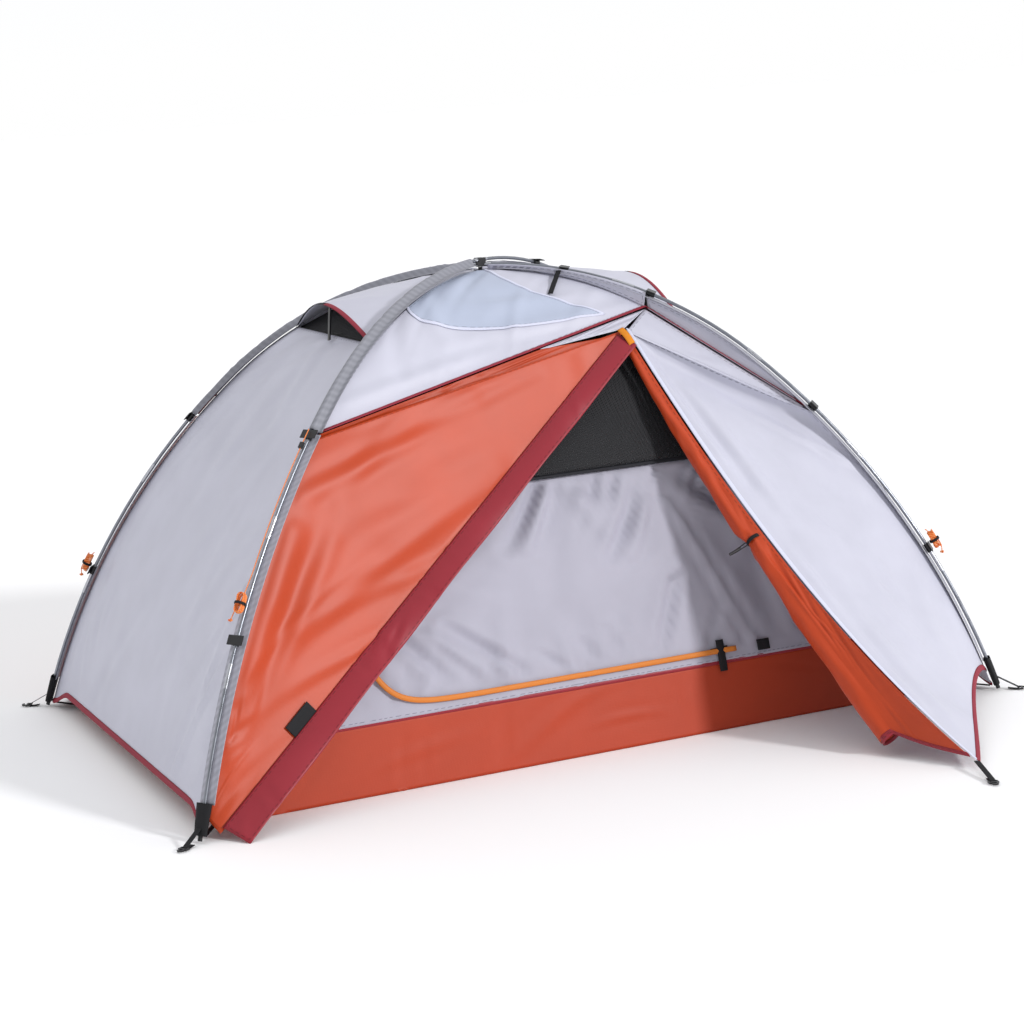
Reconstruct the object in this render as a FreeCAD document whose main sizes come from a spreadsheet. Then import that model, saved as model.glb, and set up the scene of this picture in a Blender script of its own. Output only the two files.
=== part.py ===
import FreeCAD, Part
import math
import os

import Sketcher
from FreeCAD import Placement, Rotation, Vector

# Two-person trekking dome tent: two crossed poles, a fly hung from them in sleeves and clips,
# a vestibule on each long side, and an inner tent with a bathtub floor.
# Millimetres, +Z up. X runs along the sleeper, -Y is the side whose door is rolled open.
# The origin is on the ground, straight under the place where the poles cross.

SIZES = [
    # driving dimensions
    ("foot_span_long", 2200, "pole feet, from left to right"),
    ("foot_span_wide", 1450, "pole feet, from front to back"),
    ("pole_rise", 1202, "ground to the centre line of pole A at the crossing"),
    ("pole_drop", 12, "pole B passes this far under pole A"),
    ("crown_radius", 1080, "bend radius of the poles' upper part"),
    ("crown_sweep", 41, "degrees from the top to where the leg's gentler bend starts"),
    ("vestibule_reach", 1286, "centre to the vestibule's pegged corner, front to back"),
    ("vestibule_offset", 647, "centre to the vestibule's pegged corner, to the right"),
    ("inner_long", 2060, "floor of the inner tent, left to right"),
    ("inner_wide", 1260, "floor of the inner tent, front to back"),
    ("inner_rise", 1080, "ground to the top of the inner tent"),
    # poles
    ("tube_radius", 4.5, "pole tube, outside"),
    ("tube_bore", 3.7, "pole tube, inside radius"),
    ("ferrule_wall", 0.7, "joint sleeve wall"),
    ("ferrule_play", 0.1, "joint sleeve to tube"),
    ("ferrule_length", 60, "joint sleeve"),
    ("elastic_radius", 1.25, "shock cord inside the tubes"),
    ("joint_gap", 0.4, "between the ends of two tubes"),
    ("tip_height", 16, "ground to the end of the tubes"),
    ("tip_length", 12, "end plug below the tube"),
    ("tip_radius", 5.5, "end plug collar"),
    # pole sleeves, backing bands and foot pockets
    ("cover_width", 44, "sleeve, backing band and pocket, across"),
    ("sleeve_depth", 16, "sleeve, from front to back of its oval"),
    ("sleeve_wall", 1, "sleeve cloth stand-in"),
    ("sleeve_end_a", 329, "below the top, where the sleeve of pole A ends"),
    ("sleeve_end_b", 380, "below the top, where the sleeve of pole B ends"),
    ("hood_end", 416, "below the top, where the hood's right corner meets its pole"),
    ("hood_peak", 105, "below the top, the pole clip that holds the hood's tip"),
    ("hood_drop", 26, "hood's tip below the fly's edge under that clip"),
    ("crown_strap", 33, "below the top, the pole clip that holds the crown panel"),
    ("crown_side", 0.43, "share of the roof's left edge that the crown panel takes"),
    ("crown_corner", 0.88, "share of the roof's width at the crown panel's right corner"),
    ("crown_bulge", 37, "bow of the crown panel's lower seam"),
    ("band_depth", 8, "pole centre line to the backing band"),
    ("pocket_top", 85, "height where the foot pocket starts"),
    ("pocket_wall", 1.5, "webbing of the foot pocket"),
    # cloth
    ("cloth", 2, "thickness that stands for every sheet of cloth"),
    ("fly_depth", 14, "pole centre line to the fly panels"),
    ("panel_gap", 3, "fly panel edge to the plane of the pole"),
    ("hem_height", 62, "ground to the fly's hem between the feet"),
    ("foot_hem", 22, "ground to the fly's hem at the feet"),
    ("hem_corner", 130, "length of the hem's fall towards a foot"),
    ("vent_height", 144, "below the top, where the end panel stops and the vent starts"),
    ("vent_lift", 82, "how far the prop lifts the vent hood's edge"),
    ("ridge_sag", 95, "fall of the vestibule's ridge seam below a straight line"),
    ("apex_drop", 46, "door apex below the hood's tip"),
    ("apex_back", 40, "door apex in front of the hood's tip"),
    ("apex_side", 82, "door apex left of the hood's tip"),
    ("flap_width", 72, "storm flap over the zip"),
    ("flap_lift", 6, "storm flap in front of the zip"),
    ("zip_width", 28, "zip tapes and coil together"),
    ("binding_width", 12, "tape on the hood's edge"),
    # inner tent
    ("tub_height", 168, "bathtub floor's wall"),
    ("mesh_height", 680, "bottom edge of the mesh in the long walls"),
    ("wall_bow", 36, "how far a long wall hangs inwards between its corners"),
    ("inner_gap", 3, "inner wall edge to the plane of its corner seam"),
    ("inner_zip_height", 205, "ground to the middle of the inner door's lower zip"),
    ("inner_zip_left", 600, "centre to the left end of that zip"),
    ("inner_zip_right", 390, "centre to its right end"),
    ("inner_zip_width", 14, "tapes and coil of that zip"),
    ("hanger_width", 12, "straps that hang the inner"),
    # fittings
    ("clip_height_a", 443, "height of the lower clips on pole A"),
    ("clip_height_b", 400, "height of the lower clips on pole B"),
    ("clip_length", 24, "clip along its pole"),
    ("clip_wall", 2.2, "clip ring and plate"),
    ("clip_play", 1, "clip ring to tube, enough to pass a joint sleeve"),
    ("hook_width", 24, "peg hook frame, across"),
    ("hook_depth", 14, "peg hook frame, along"),
    ("hook_thick", 4, "peg hook plate"),
    ("hook_bar", 3, "peg hook bar that the webbing loops round"),
    ("hook_window", 6.5, "slot for the webbing, along"),
    ("hook_ring", 9, "peg hook ring, outside radius"),
    ("hook_bore", 5.5, "peg hook ring, inside radius"),
    ("hook_mouth", 7, "gap in the ring"),
    ("hook_play", 0.4, "webbing loop to the peg hook's bar"),
    ("hook_float", 2.2, "ground to the underside of a peg hook"),
    ("webbing_width", 14, "peg loop webbing"),
    ("webbing_wall", 1.2, "peg loop webbing, thickness"),
    ("peg_reach", 55, "pole foot to the peg hook's bar"),
    ("slider_length", 16, "zip slider"),
    ("slider_width", 10, "zip slider"),
    ("slider_height", 5, "zip slider"),
    ("slider_tab", 32, "pull tab of a zip slider"),
    ("prop_width", 12, "vent prop"),
    ("prop_thick", 4, "vent prop"),
    ("toggle_length", 34, "door toggle"),
    ("toggle_radius", 4, "door toggle"),
    ("label_long", 84, "plain patch on the door panel"),
    ("label_wide", 34, "plain patch on the door panel"),
    ("guy_radius", 1.25, "guy line"),
    ("guy_lift", 14, "pole centre line to the guy line that lies on it"),
    ("guy_leave", 642, "below the top, where the guy line leaves its pole"),
    ("guy_end", 732, "below the top, the guy line's end"),
    ("hank_length", 46, "tied hank of guy line"),
    ("hank_width", 22, "tied hank of guy line"),
    ("hank_thick", 16, "tied hank of guy line"),
    ("lock_length", 16, "guy line lock"),
    ("lock_width", 10, "guy line lock"),
    ("lock_play", 0.9, "guy line lock to its line"),
    ("lock_height", 362, "below the top, the guy line lock"),
]

os.makedirs("parts", exist_ok=True)
doc = FreeCAD.newDocument("trekking_tent")
sheet = doc.addObject("Spreadsheet::Sheet", "sizes")
for row, (alias, value, note) in enumerate(SIZES, start=1):
    sheet.set(f"A{row}", alias)
    sheet.set(f"B{row}", str(value))
    sheet.setAlias(f"B{row}", alias)
    sheet.set(f"C{row}", note)
doc.recompute()

exports = []
UP = Vector(0, 0, 1)


def size(alias):
    """A driving dimension, read from the sheet."""
    return float(sheet.get(alias))


def level(alias):
    """Height of a place whose size is its distance below the top of pole A."""
    return size("pole_rise") - size(alias)


def keep(node, label):
    """Names a finished object and marks it for export."""
    node.Label = label
    exports.append(node)
    return node


def add_shape(label, shape):
    """A sub-part whose doubly curved shape comes from Part's own functions."""
    node = doc.addObject("Part::Feature", label)
    node.Shape = shape
    return keep(node, label)


def group(label, shapes):
    """Several equal or paired pieces that share one node as separate solids."""
    solids = [solid for shape in shapes for solid in shape.Solids]
    return add_shape(label, Part.makeCompound(solids))


def mirrored(shape):
    """The same piece on the other long side: front and back mirror across the XZ plane."""
    return shape.mirror(Vector(0, 0, 0), Vector(0, 1, 0))


def end_mirrored(shape):
    """The same piece on the other end: left and right mirror across the YZ plane."""
    return shape.mirror(Vector(0, 0, 0), Vector(1, 0, 0))


# --- pole arches ---------------------------------------------------------------------------
# Each pole lies in a vertical plane through the centre. An angle is measured from the top of
# the arch: up to the crown sweep the bend is the crown's, and past it the leg's gentler one.

LEGS = {"lf": (-1, -1), "rf": (1, -1), "rb": (1, 1), "lb": (-1, 1)}
POLES = {"a": ("lf", "rb"), "b": ("lb", "rf")}


def arch(rise):
    """Crown and leg arcs of a pole whose top is at this height."""
    reach = math.hypot(size("foot_span_long"), size("foot_span_wide")) / 2
    crown = size("crown_radius")
    sweep = math.radians(size("crown_sweep"))
    low = rise - crown
    foot_out, foot_up = reach, size("tip_height") - low
    along = foot_out * math.sin(sweep) + foot_up * math.cos(sweep)
    leg = (foot_out**2 + foot_up**2 - 2 * crown * along + crown**2) / (2 * (crown - along))
    out = (crown - leg) * math.sin(sweep)
    up = low + (crown - leg) * math.cos(sweep)
    end = math.acos((size("tip_height") - up) / leg)
    return {
        "sweep": sweep,
        "end": end,
        "crown": (0.0, low, crown),
        "leg": (out, up, leg),
    }


ARCH = {"a": arch(size("pole_rise")), "b": arch(size("pole_rise") - size("pole_drop"))}
LEG_POLE = {leg: pole for pole, legs in POLES.items() for leg in legs}
FLY = ARCH["b"]


def part_of(shape, angle):
    """The arc, (out, up, radius), that holds this angle of an arch."""
    return shape["crown"] if angle <= shape["sweep"] else shape["leg"]


def angle_at(shape, height):
    """The angle at which an arch's centre line passes a height."""
    _, up, radius = shape["crown"]
    crown_end = up + radius * math.cos(shape["sweep"])
    if height < crown_end:
        _, up, radius = shape["leg"]
    return math.acos(min(1.0, (height - up) / radius))


def outward(leg):
    """Horizontal unit vector from the centre to a pole foot."""
    x, y = LEGS[leg]
    return Vector(x * size("foot_span_long"), y * size("foot_span_wide"), 0).normalize()


def sideways(leg):
    """Horizontal unit vector square to a leg's plane, anticlockwise seen from above."""
    return UP.cross(outward(leg))


def normal(leg, angle):
    """Unit vector away from the tent, square to the pole."""
    return outward(leg) * math.sin(angle) + UP * math.cos(angle)


def tangent(leg, angle):
    """Unit vector down the pole."""
    return outward(leg) * math.cos(angle) - UP * math.sin(angle)


def on_leg(leg, angle, inset=0.0, lateral=0.0, shape=None):
    """A point near a leg: inset behind the centre line and lateral beside its plane."""
    shape = shape or ARCH[LEG_POLE[leg]]
    out, up, radius = part_of(shape, angle)
    reach = radius - inset
    flat = outward(leg) * (out + reach * math.sin(angle)) + UP * (up + reach * math.cos(angle))
    return flat + sideways(leg) * lateral


def bend(leg, start, end, profile, shape=None):
    """Solid of a profile that follows a leg from one angle to another."""
    shape = shape or ARCH[LEG_POLE[leg]]
    spans = [(start, min(end, shape["sweep"])), (max(start, shape["sweep"]), end)]
    solids = []
    for low, high in spans:
        if high - low < 1e-6:
            continue
        out, up, _ = part_of(shape, (low + high) / 2)
        centre = outward(leg) * out + UP * up
        face = profile(leg, low, shape)
        solids.append(face.revolve(centre, sideways(leg), math.degrees(high - low)))
    return solids[0] if len(solids) == 1 else solids[0].fuse(solids[1]).removeSplitter()


def ring_profile(outer, inner=0.0):
    """Profile function for a round tube or rod."""

    def profile(leg, angle, shape):
        point = on_leg(leg, angle, shape=shape)
        axis = tangent(leg, angle)
        disc = Part.Face(Part.Wire(Part.makeCircle(outer, point, axis)))
        if not inner:
            return disc
        return disc.cut(Part.Face(Part.Wire(Part.makeCircle(inner, point, axis)))).Faces[0]

    return profile


def oval_wire(point, side, out, half_width, half_depth):
    """Closed outline of a flat tube: two straight sides and two half circles."""
    run = side * (half_width - half_depth)
    rise = out * half_depth
    tip = side * half_width
    edges = [
        Part.makeLine(point - run + rise, point + run + rise),
        Part.Arc(point + run + rise, point + tip, point + run - rise).toShape(),
        Part.makeLine(point + run - rise, point - run - rise),
        Part.Arc(point - run - rise, point - tip, point - run + rise).toShape(),
    ]
    return Part.Wire(edges)


def oval_profile(half_width, half_depth, wall):
    """Profile function for a cloth tube round a pole."""

    def profile(leg, angle, shape):
        point = on_leg(leg, angle, shape=shape)
        side, out = sideways(leg), normal(leg, angle)
        outer = Part.Face(oval_wire(point, side, out, half_width, half_depth))
        inner = Part.Face(oval_wire(point, side, out, half_width - wall, half_depth - wall))
        return outer.cut(inner).Faces[0]

    return profile


def strip_profile(half_width, depth, thick):
    """Profile function for a flat band behind a pole."""

    def profile(leg, angle, shape):
        side, out = sideways(leg), normal(leg, angle)
        top = on_leg(leg, angle, depth, shape=shape)
        low = top - out * thick
        half = side * half_width
        corners = [top - half, top + half, low + half, low - half, top - half]
        return Part.Face(Part.makePolygon(corners))

    return profile


def arc_turn(leg, angle, length):
    """Angle that a length along the pole takes up."""
    return length / part_of(ARCH[LEG_POLE[leg]], angle)[2]


CROWN_SECTIONS_PER_LEG = 2
LEG_SECTIONS = 3


def joint_angles(shape):
    """Angles of the joints between pole sections, from the top to the foot."""
    sweep, end = shape["sweep"], shape["end"]
    crown = [sweep * n / CROWN_SECTIONS_PER_LEG for n in range(CROWN_SECTIONS_PER_LEG + 1)]
    leg = [sweep + (end - sweep) * n / LEG_SECTIONS for n in range(1, LEG_SECTIONS + 1)]
    return crown + leg


def make_poles():
    """Tube sections of both poles, with joint sleeves, shock cords and end plugs."""
    tube = ring_profile(size("tube_radius"), size("tube_bore"))
    bore = size("tube_radius") + size("ferrule_play")
    ferrule = ring_profile(bore + size("ferrule_wall"), bore)
    cord = ring_profile(size("elastic_radius"))
    ferrules, cords, tips = [], [], []
    for pole, legs in POLES.items():
        shape = ARCH[pole]
        joints = joint_angles(shape)
        sections = []
        for leg in legs:
            for start, end in zip(joints, joints[1:]):
                gap = arc_turn(leg, end, size("joint_gap") / 2)
                sections.append(bend(leg, start + gap, end - gap, tube))
            for angle in joints[1:-1]:
                half = arc_turn(leg, angle + 1e-6, size("ferrule_length") / 2)
                ferrules.append(bend(leg, angle - half, angle + half, ferrule))
            cords.append(bend(leg, 0, shape["end"], cord))
            tips.append(end_plug(leg, shape["end"]))
        group(f"pole_{pole}_sections", sections)
        half = size("ferrule_length") / 2 / shape["crown"][2]
        halves = [bend(leg, 0, half, ferrule) for leg in legs]
        ferrules.append(halves[0].fuse(halves[1]).removeSplitter())
    pairs = [cords[0].fuse(cords[1]), cords[2].fuse(cords[3])]
    group("pole_joint_sleeves", ferrules)
    group("pole_shock_cords", [pair.removeSplitter() for pair in pairs])
    group("pole_end_plugs", tips)


def end_plug(leg, angle):
    """Plastic plug that closes a pole's foot and stands in the foot pocket."""
    start = on_leg(leg, angle) + tangent(leg, angle) * size("joint_gap")
    return Part.makeCylinder(size("tip_radius"), size("tip_length"), start, tangent(leg, angle))


def make_pole_covers():
    """Cloth sleeves on the left halves, bands behind the bare pole, and foot pockets."""
    half = size("cover_width") / 2
    depth = size("sleeve_depth") / 2
    sleeve = oval_profile(half, depth, size("sleeve_wall"))
    pocket = oval_profile(half, depth + size("pocket_wall") / 2, size("pocket_wall"))
    band = strip_profile(half, size("band_depth"), size("cloth"))
    sleeve_start = 2.2 * half / size("crown_radius")
    ends = {"lf": level("sleeve_end_a"), "lb": level("sleeve_end_b")}
    for leg, height in ends.items():
        end = angle_at(ARCH[LEG_POLE[leg]], height)
        add_shape(f"pole_sleeve_{LEG_POLE[leg]}", bend(leg, sleeve_start, end, sleeve))
    bands, pockets = [], []
    for leg in LEGS:
        shape = ARCH[LEG_POLE[leg]]
        start = angle_at(shape, ends.get(leg, level("hood_end")))
        stop = angle_at(shape, size("pocket_top"))
        slack = arc_turn(leg, stop, size("panel_gap"))
        bands.append(bend(leg, start + slack, stop - slack, band))
        pockets.append(bend(leg, stop, shape["end"], pocket))
        if leg not in ends:
            bands.append(bend(leg, sleeve_start, start - slack, band))
    group("backing_bands", bands)
    group("foot_pockets", pockets)


# --- cloth ---------------------------------------------------------------------------------


def blend(first, second, share):
    """The point a share of the way from one point to another."""
    return first + (second - first) * share


def shares(count):
    """Even steps from 0 to 1."""
    return [n / (count - 1) for n in range(count)]


def cloth_solid(grid, thick=None, heart=Vector(0, 0, 300)):
    """A sheet of cloth as a closed solid: the grid is its outside, and its back lies inwards."""
    thick = thick or size("cloth")
    rows, columns = len(grid), len(grid[0])
    back = []
    for i in range(rows):
        line = []
        for j in range(columns):
            along = grid[min(i + 1, rows - 1)][j] - grid[max(i - 1, 0)][j]
            across = grid[i][min(j + 1, columns - 1)] - grid[i][max(j - 1, 0)]
            out = along.cross(across).normalize()
            if out.dot(grid[i][j] - heart) < 0:
                out = -out
            line.append(grid[i][j] - out * thick)
        back.append(line)
    skins = []
    for points in (grid, back):
        skin = Part.BSplineSurface()
        skin.interpolate(points)
        skins.append(skin)
    faces = [skin.toShape() for skin in skins]
    u0, u1, v0, v1 = skins[0].bounds()
    for which, value in (("u", u0), ("u", u1), ("v", v0), ("v", v1)):
        curves = [s.uIso(value) if which == "u" else s.vIso(value) for s in skins]
        faces.append(Part.makeRuledSurface(curves[0].toShape(), curves[1].toShape()))
    shell = Part.Shell(faces)
    shell.sewShape()
    solid = Part.Solid(shell)
    if solid.Volume < 0:
        solid.reverse()
    return solid


def ruled_grid(first, second, rows, columns):
    """Grid of straight rules between two curves, given as functions of a share."""
    return [
        [blend(first(v), second(v), u) for u in shares(columns)]
        for v in shares(rows)
    ]


def leg_curve(leg, start, end, turn):
    """Curve under a leg from one angle to another; turn is +1 or -1, the side of its plane."""

    def curve(share):
        angle = start + (end - start) * share
        return on_leg(leg, angle, size("fly_depth"), turn * size("panel_gap"), FLY)

    return curve


def line_curve(first, second):
    """Straight line as a function of a share."""
    return lambda share: blend(first, second, share)


TOP_ANGLE = math.radians(1.2)


def fly_angle(height):
    """Angle on the fly's arch at a height."""
    return angle_at(FLY, height)


def hem_share(across):
    """How far a hem is from its feet: 0 at a foot and 1 past the hem's corner."""
    corner = size("hem_corner") / size("foot_span_wide")
    reach = min(across, 1 - across) / corner
    reach = min(1.0, max(0.0, reach))
    return reach * reach * (3 - 2 * reach)


def end_panel():
    """Left end of the fly, from the vent down to a hem that falls to both feet."""
    start = fly_angle(level("vent_height"))
    grid = []
    for v in shares(7):
        row = []
        for u in shares(13):
            height = blend(size("foot_hem"), size("hem_height"), hem_share(u))
            angle = start + (fly_angle(height) - start) * v
            first = leg_curve("lb", angle, angle, 1)(0)
            second = leg_curve("lf", angle, angle, -1)(0)
            row.append(blend(first, second, u))
        grid.append(row)
    return cloth_solid(grid)


def vent_hood():
    """Left vent's hood: from the crossing to an edge that a prop holds up in the middle."""
    stop = fly_angle(level("vent_height")) - size("panel_gap") / size("crown_radius")
    first = leg_curve("lb", TOP_ANGLE, stop, 1)
    second = leg_curve("lf", TOP_ANGLE, stop, -1)
    grid = [[vent_point(first, second, u, v) for u in shares(9)] for v in shares(7)]
    return cloth_solid(grid)


def vent_point(first, second, across, down):
    """Point of the left vent's hood, whose middle rises towards its edge."""
    lift = Vector(-0.2, 0, 1).normalize() * size("vent_lift")
    level = blend(first(down), second(down), across)
    return level + lift * (down * down * math.sin(math.pi * across))


def vent_mesh():
    """Insect mesh from the end panel's top edge up to the left vent's hood."""
    stop = fly_angle(level("vent_height")) - size("panel_gap") / size("crown_radius")
    first = leg_curve("lb", TOP_ANGLE, stop, 1)
    second = leg_curve("lf", TOP_ANGLE, stop, -1)
    drop = UP * (2 * size("panel_gap"))
    low = line_curve(first(1) - drop, second(1) - drop)
    return cloth_solid(ruled_grid(low, lambda u: vent_point(first, second, u, 0.75) - drop, 9, 4))


# The front vestibule hangs from the right front leg at the hood's tip. These are its corners.


def hood_tip():
    edge = on_leg("rf", fly_angle(level("hood_peak")), size("fly_depth"), -size("panel_gap"), FLY)
    return edge - UP * size("hood_drop")


def door_apex():
    shift = Vector(-size("apex_side"), -size("apex_back"), -size("apex_drop"))
    return hood_tip() + shift


def peg_corner():
    return Vector(size("vestibule_offset"), -size("vestibule_reach"), size("foot_hem"))


def zip_foot():
    foot = on_leg("lf", fly_angle(size("foot_hem")), size("fly_depth"), size("panel_gap"), FLY)
    return foot + Vector(size("zip_width"), -size("hook_width"), 0)


def ridge(share):
    """Seam from the door apex to the pegged corner. It sags under the door's weight."""
    point = blend(door_apex(), peg_corner(), share)
    return point - UP * (size("ridge_sag") * 4 * share * (1 - share))


def shoulder(leg, height, turn):
    """Where a hood corner meets its leg, moved on to the fly's depth."""
    return on_leg(leg, fly_angle(height), size("fly_depth"), turn * size("panel_gap"), FLY)


def in_door_plane(along):
    """Unit vector in the plane of the door, square to a direction, towards the opening."""
    zip_run = (zip_foot() - door_apex()).normalize()
    ridge_run = (peg_corner() - door_apex()).normalize()
    out = ridge_run.cross(zip_run).normalize()
    across = out.cross(along).normalize()
    middle = blend(zip_foot(), peg_corner(), 0.5) - door_apex()
    return across if across.dot(middle) > 0 else -across


def door_normal():
    """Unit vector out of the vestibule through the closed door."""
    zip_run = (zip_foot() - door_apex()).normalize()
    ridge_run = (peg_corner() - door_apex()).normalize()
    out = zip_run.cross(ridge_run).normalize()
    return out if out.y < 0 else -out


def roof_edges():
    """Left and right edge curves of the front roof, from the crossing to the hood's edge."""
    left = leg_curve("lf", TOP_ANGLE, fly_angle(level("sleeve_end_a")), 1)
    stop = fly_angle(level("hood_peak"))
    under = leg_curve("rf", TOP_ANGLE, stop, -1)
    aside = -sideways("rf") * size("panel_gap")
    return left, lambda share: under(share) + aside - UP * (size("hood_drop") * share * share)


def roof_solid():
    """Front roof as one sheet, before the crown panel is let into it."""
    return cloth_solid(ruled_grid(*roof_edges(), 8, 8), heart=Vector(0, 0, 0))


def roof_point(across, down):
    """Plan position of a point of the front roof, by its shares across and down."""
    left, right = roof_edges()
    point = blend(left(down), right(down), across)
    return Vector(point.x, point.y, 0)


def crown_cutter(grow):
    """Upright prism over the crown panel: along sleeve A, then two seams back to the top."""
    reach = 0.955
    near, far = roof_point(0, 0.05), roof_point(0, size("crown_side"))
    right = roof_point(size("crown_corner"), reach)
    high = roof_point(0.6, 0.05)
    lower = blend(far, right, 0.5) + Vector(0, -size("crown_bulge") - grow, 0)
    aside = sideways("lf") * (2 * size("panel_gap"))
    near, far = near - aside + Vector(0, grow, 0), far - aside + outward("lf") * grow
    right, high = right + Vector(grow, -grow / 2, 0), high + Vector(grow, grow, 0)
    edges = [
        Part.makeLine(near, far),
        Part.Arc(far, lower, right).toShape(),
        Part.makeLine(right, high),
        Part.makeLine(high, near),
    ]
    return Part.Face(Part.Wire(edges)).extrude(UP * size("pole_rise"))


def hood_wing():
    """Strip of roof between the right front leg and the hood's right edge."""
    gap = size("panel_gap") / size("crown_radius")
    start = fly_angle(level("hood_peak")) + 2 * gap
    end = fly_angle(level("hood_end")) - 8 * gap
    top = leg_curve("rf", start, end, -1)
    right = shoulder("rf", level("hood_end"), -1)
    chord = line_curve(blend(hood_tip(), right, 0.02), blend(hood_tip(), right, 0.94))
    return cloth_solid(ruled_grid(top, chord, 9, 3), heart=Vector(0, 0, 0))


def flat_sheet(corners, out, thick=None):
    """A flat piece of cloth or tape from its corners, thickened along a direction."""
    face = Part.Face(Part.makePolygon(corners + corners[:1]))
    return face.extrude(out * (thick or size("cloth")))


def gusset():
    """Two cloth triangles that close the hood's underside down to the top of the door."""
    tip, apex = hood_tip(), door_apex()
    left = shoulder("lf", level("sleeve_end_a"), 1)
    right = shoulder("rf", level("hood_end"), -1)
    step = size("panel_gap")
    sheets = []
    for corner, aside in ((left, -1), (right, 1)):
        top = tip + Vector(aside * step, 0, -4 * step)
        low = apex + Vector(aside * step, 0, 2 * step)
        high_end = blend(corner, top, 0.16)
        low_end = blend(corner, low, 0.16)
        out = (top - low).cross(high_end - low).normalize()
        out = out if out.y < 0 else -out
        sheets.append(flat_sheet([top, low, low_end, high_end], -out))
    return sheets


def wall_curves():
    """Edges of the vestibule wall: under the left front leg, and along the zip."""
    leg = leg_curve("lf", fly_angle(level("sleeve_end_a") - 12), fly_angle(size("foot_hem") + 30), 1)
    apex = door_apex() - UP * size("panel_gap")
    return leg, line_curve(apex, zip_foot())


def fixed_panel():
    """Vestibule wall between the left front leg and the zip."""
    leg, seam = wall_curves()
    return cloth_solid(ruled_grid(leg, seam, 9, 7))


def zip_strip(near, far, lift, thick):
    """Flat strip beside the zip line: near and far are its edges, across the door."""
    run = (zip_foot() - door_apex()).normalize()
    across = in_door_plane(run)
    out = door_normal()
    start = door_apex() + run * (3 * size("zip_width")) + out * lift
    end = zip_foot() - run * size("zip_width") + out * lift
    corners = [start + across * near, start + across * far, end + across * far, end + across * near]
    return flat_sheet(corners, out, thick)


def side_panel():
    """Vestibule wall between the ridge seam and the right front leg."""
    top = fly_angle(level("hood_end") - 12)
    low = fly_angle(size("hem_height"))
    leg = leg_curve("rf", top, low, -1)
    aside = Vector(size("panel_gap"), 0, 0)
    return cloth_solid(ruled_grid(lambda share: ridge(share) + aside, leg, 9, 7))


ROLL_STATIONS = ((0.1, 11), (0.3, 20), (0.5, 24), (0.62, 27))
ROLL_END = Vector(-99, 223, 20)
ROLL_END_RADIUS = 30
TIE_STATION = (0.41, 22)


def door_roll_solid():
    """The opened door, rolled up to its ridge seam and spread out again near the peg."""
    run = (peg_corner() - door_apex()).normalize()
    aside = in_door_plane(run)
    centres = [(ridge(s) + aside * (r + 10) - door_normal() * r, r) for s, r in ROLL_STATIONS]
    centres.append((peg_corner() + ROLL_END, ROLL_END_RADIUS))
    rings = [Part.Wire(Part.makeCircle(radius, centre, run)) for centre, radius in centres]
    return Part.makeLoft(rings, True, False)


def door_flare_solid():
    """Lower corner of the opened door, still spread between the roll and the ridge seam."""
    aside = Vector(-3 * size("panel_gap"), 0, 0)
    seam = line_curve(ridge(0.66) + aside, ridge(0.98) + aside)
    end = peg_corner() + ROLL_END
    free = line_curve(blend(ridge(0.66), end, 0.3), end + Vector(40, -40, -20))
    return cloth_solid(ruled_grid(seam, free, 5, 4))


def closed_door():
    """The door zipped shut, mirrored later to the back: one sheet from zip to ridge."""
    run = (zip_foot() - door_apex()).normalize()
    across = in_door_plane(run)
    apex = door_apex() + run * (3 * size("zip_width")) + across * (2 * size("zip_width"))
    foot = zip_foot() - run * size("zip_width") + across * (2 * size("zip_width"))
    seam = line_curve(apex, foot)
    aside = Vector(-2 * size("panel_gap"), 0, 0)
    return cloth_solid(ruled_grid(seam, lambda share: ridge(0.16 + 0.8 * share) + aside, 9, 7))


def hood_binding():
    """Tape along the hood's two edges."""
    tip = hood_tip()
    left = shoulder("lf", level("sleeve_end_a"), 1)
    right = shoulder("rf", level("hood_end"), -1)
    lift = UP * (size("cloth") + 1)
    strips = []
    for corner, aside in ((left, -1), (right, 1)):
        start = blend(tip, corner, 0.05) + lift
        end = blend(tip, corner, 0.93) + lift
        width = Vector(0, -size("binding_width"), 0)
        strips.append(flat_sheet([start, end, end + width, start + width], UP, 1))
    return strips


def tip_strap():
    """Strap from the pole clip above the hood's tip down to that tip."""
    back = outward("rf") * size("webbing_width")
    low = hood_tip() + UP
    high = low + UP * (size("hood_drop") + 1)
    near = outward("rf") * size("panel_gap")
    return flat_sheet([low - near, high - near, high - near - back, low - near - back], sideways("rf"), 1)


def crown_strap():
    """Strap on the roof from the crown panel's right seam to the pole clip above it."""
    left, right = roof_edges()
    down = fly_angle(level("crown_strap")) / fly_angle(level("hood_peak"))
    half = outward("rf") * size("webbing_width") / 2
    lift = UP * size("panel_gap")
    ends = [blend(left(down), right(down), across) + lift for across in (0.78, 0.985)]
    corners = [ends[0] - half, ends[1] - half, ends[1] + half, ends[0] + half]
    run, over = corners[1] - corners[0], corners[3] - corners[0]
    out = over.cross(run).normalize()
    return flat_sheet(corners, out if out.z > 0 else -out, 1)


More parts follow.
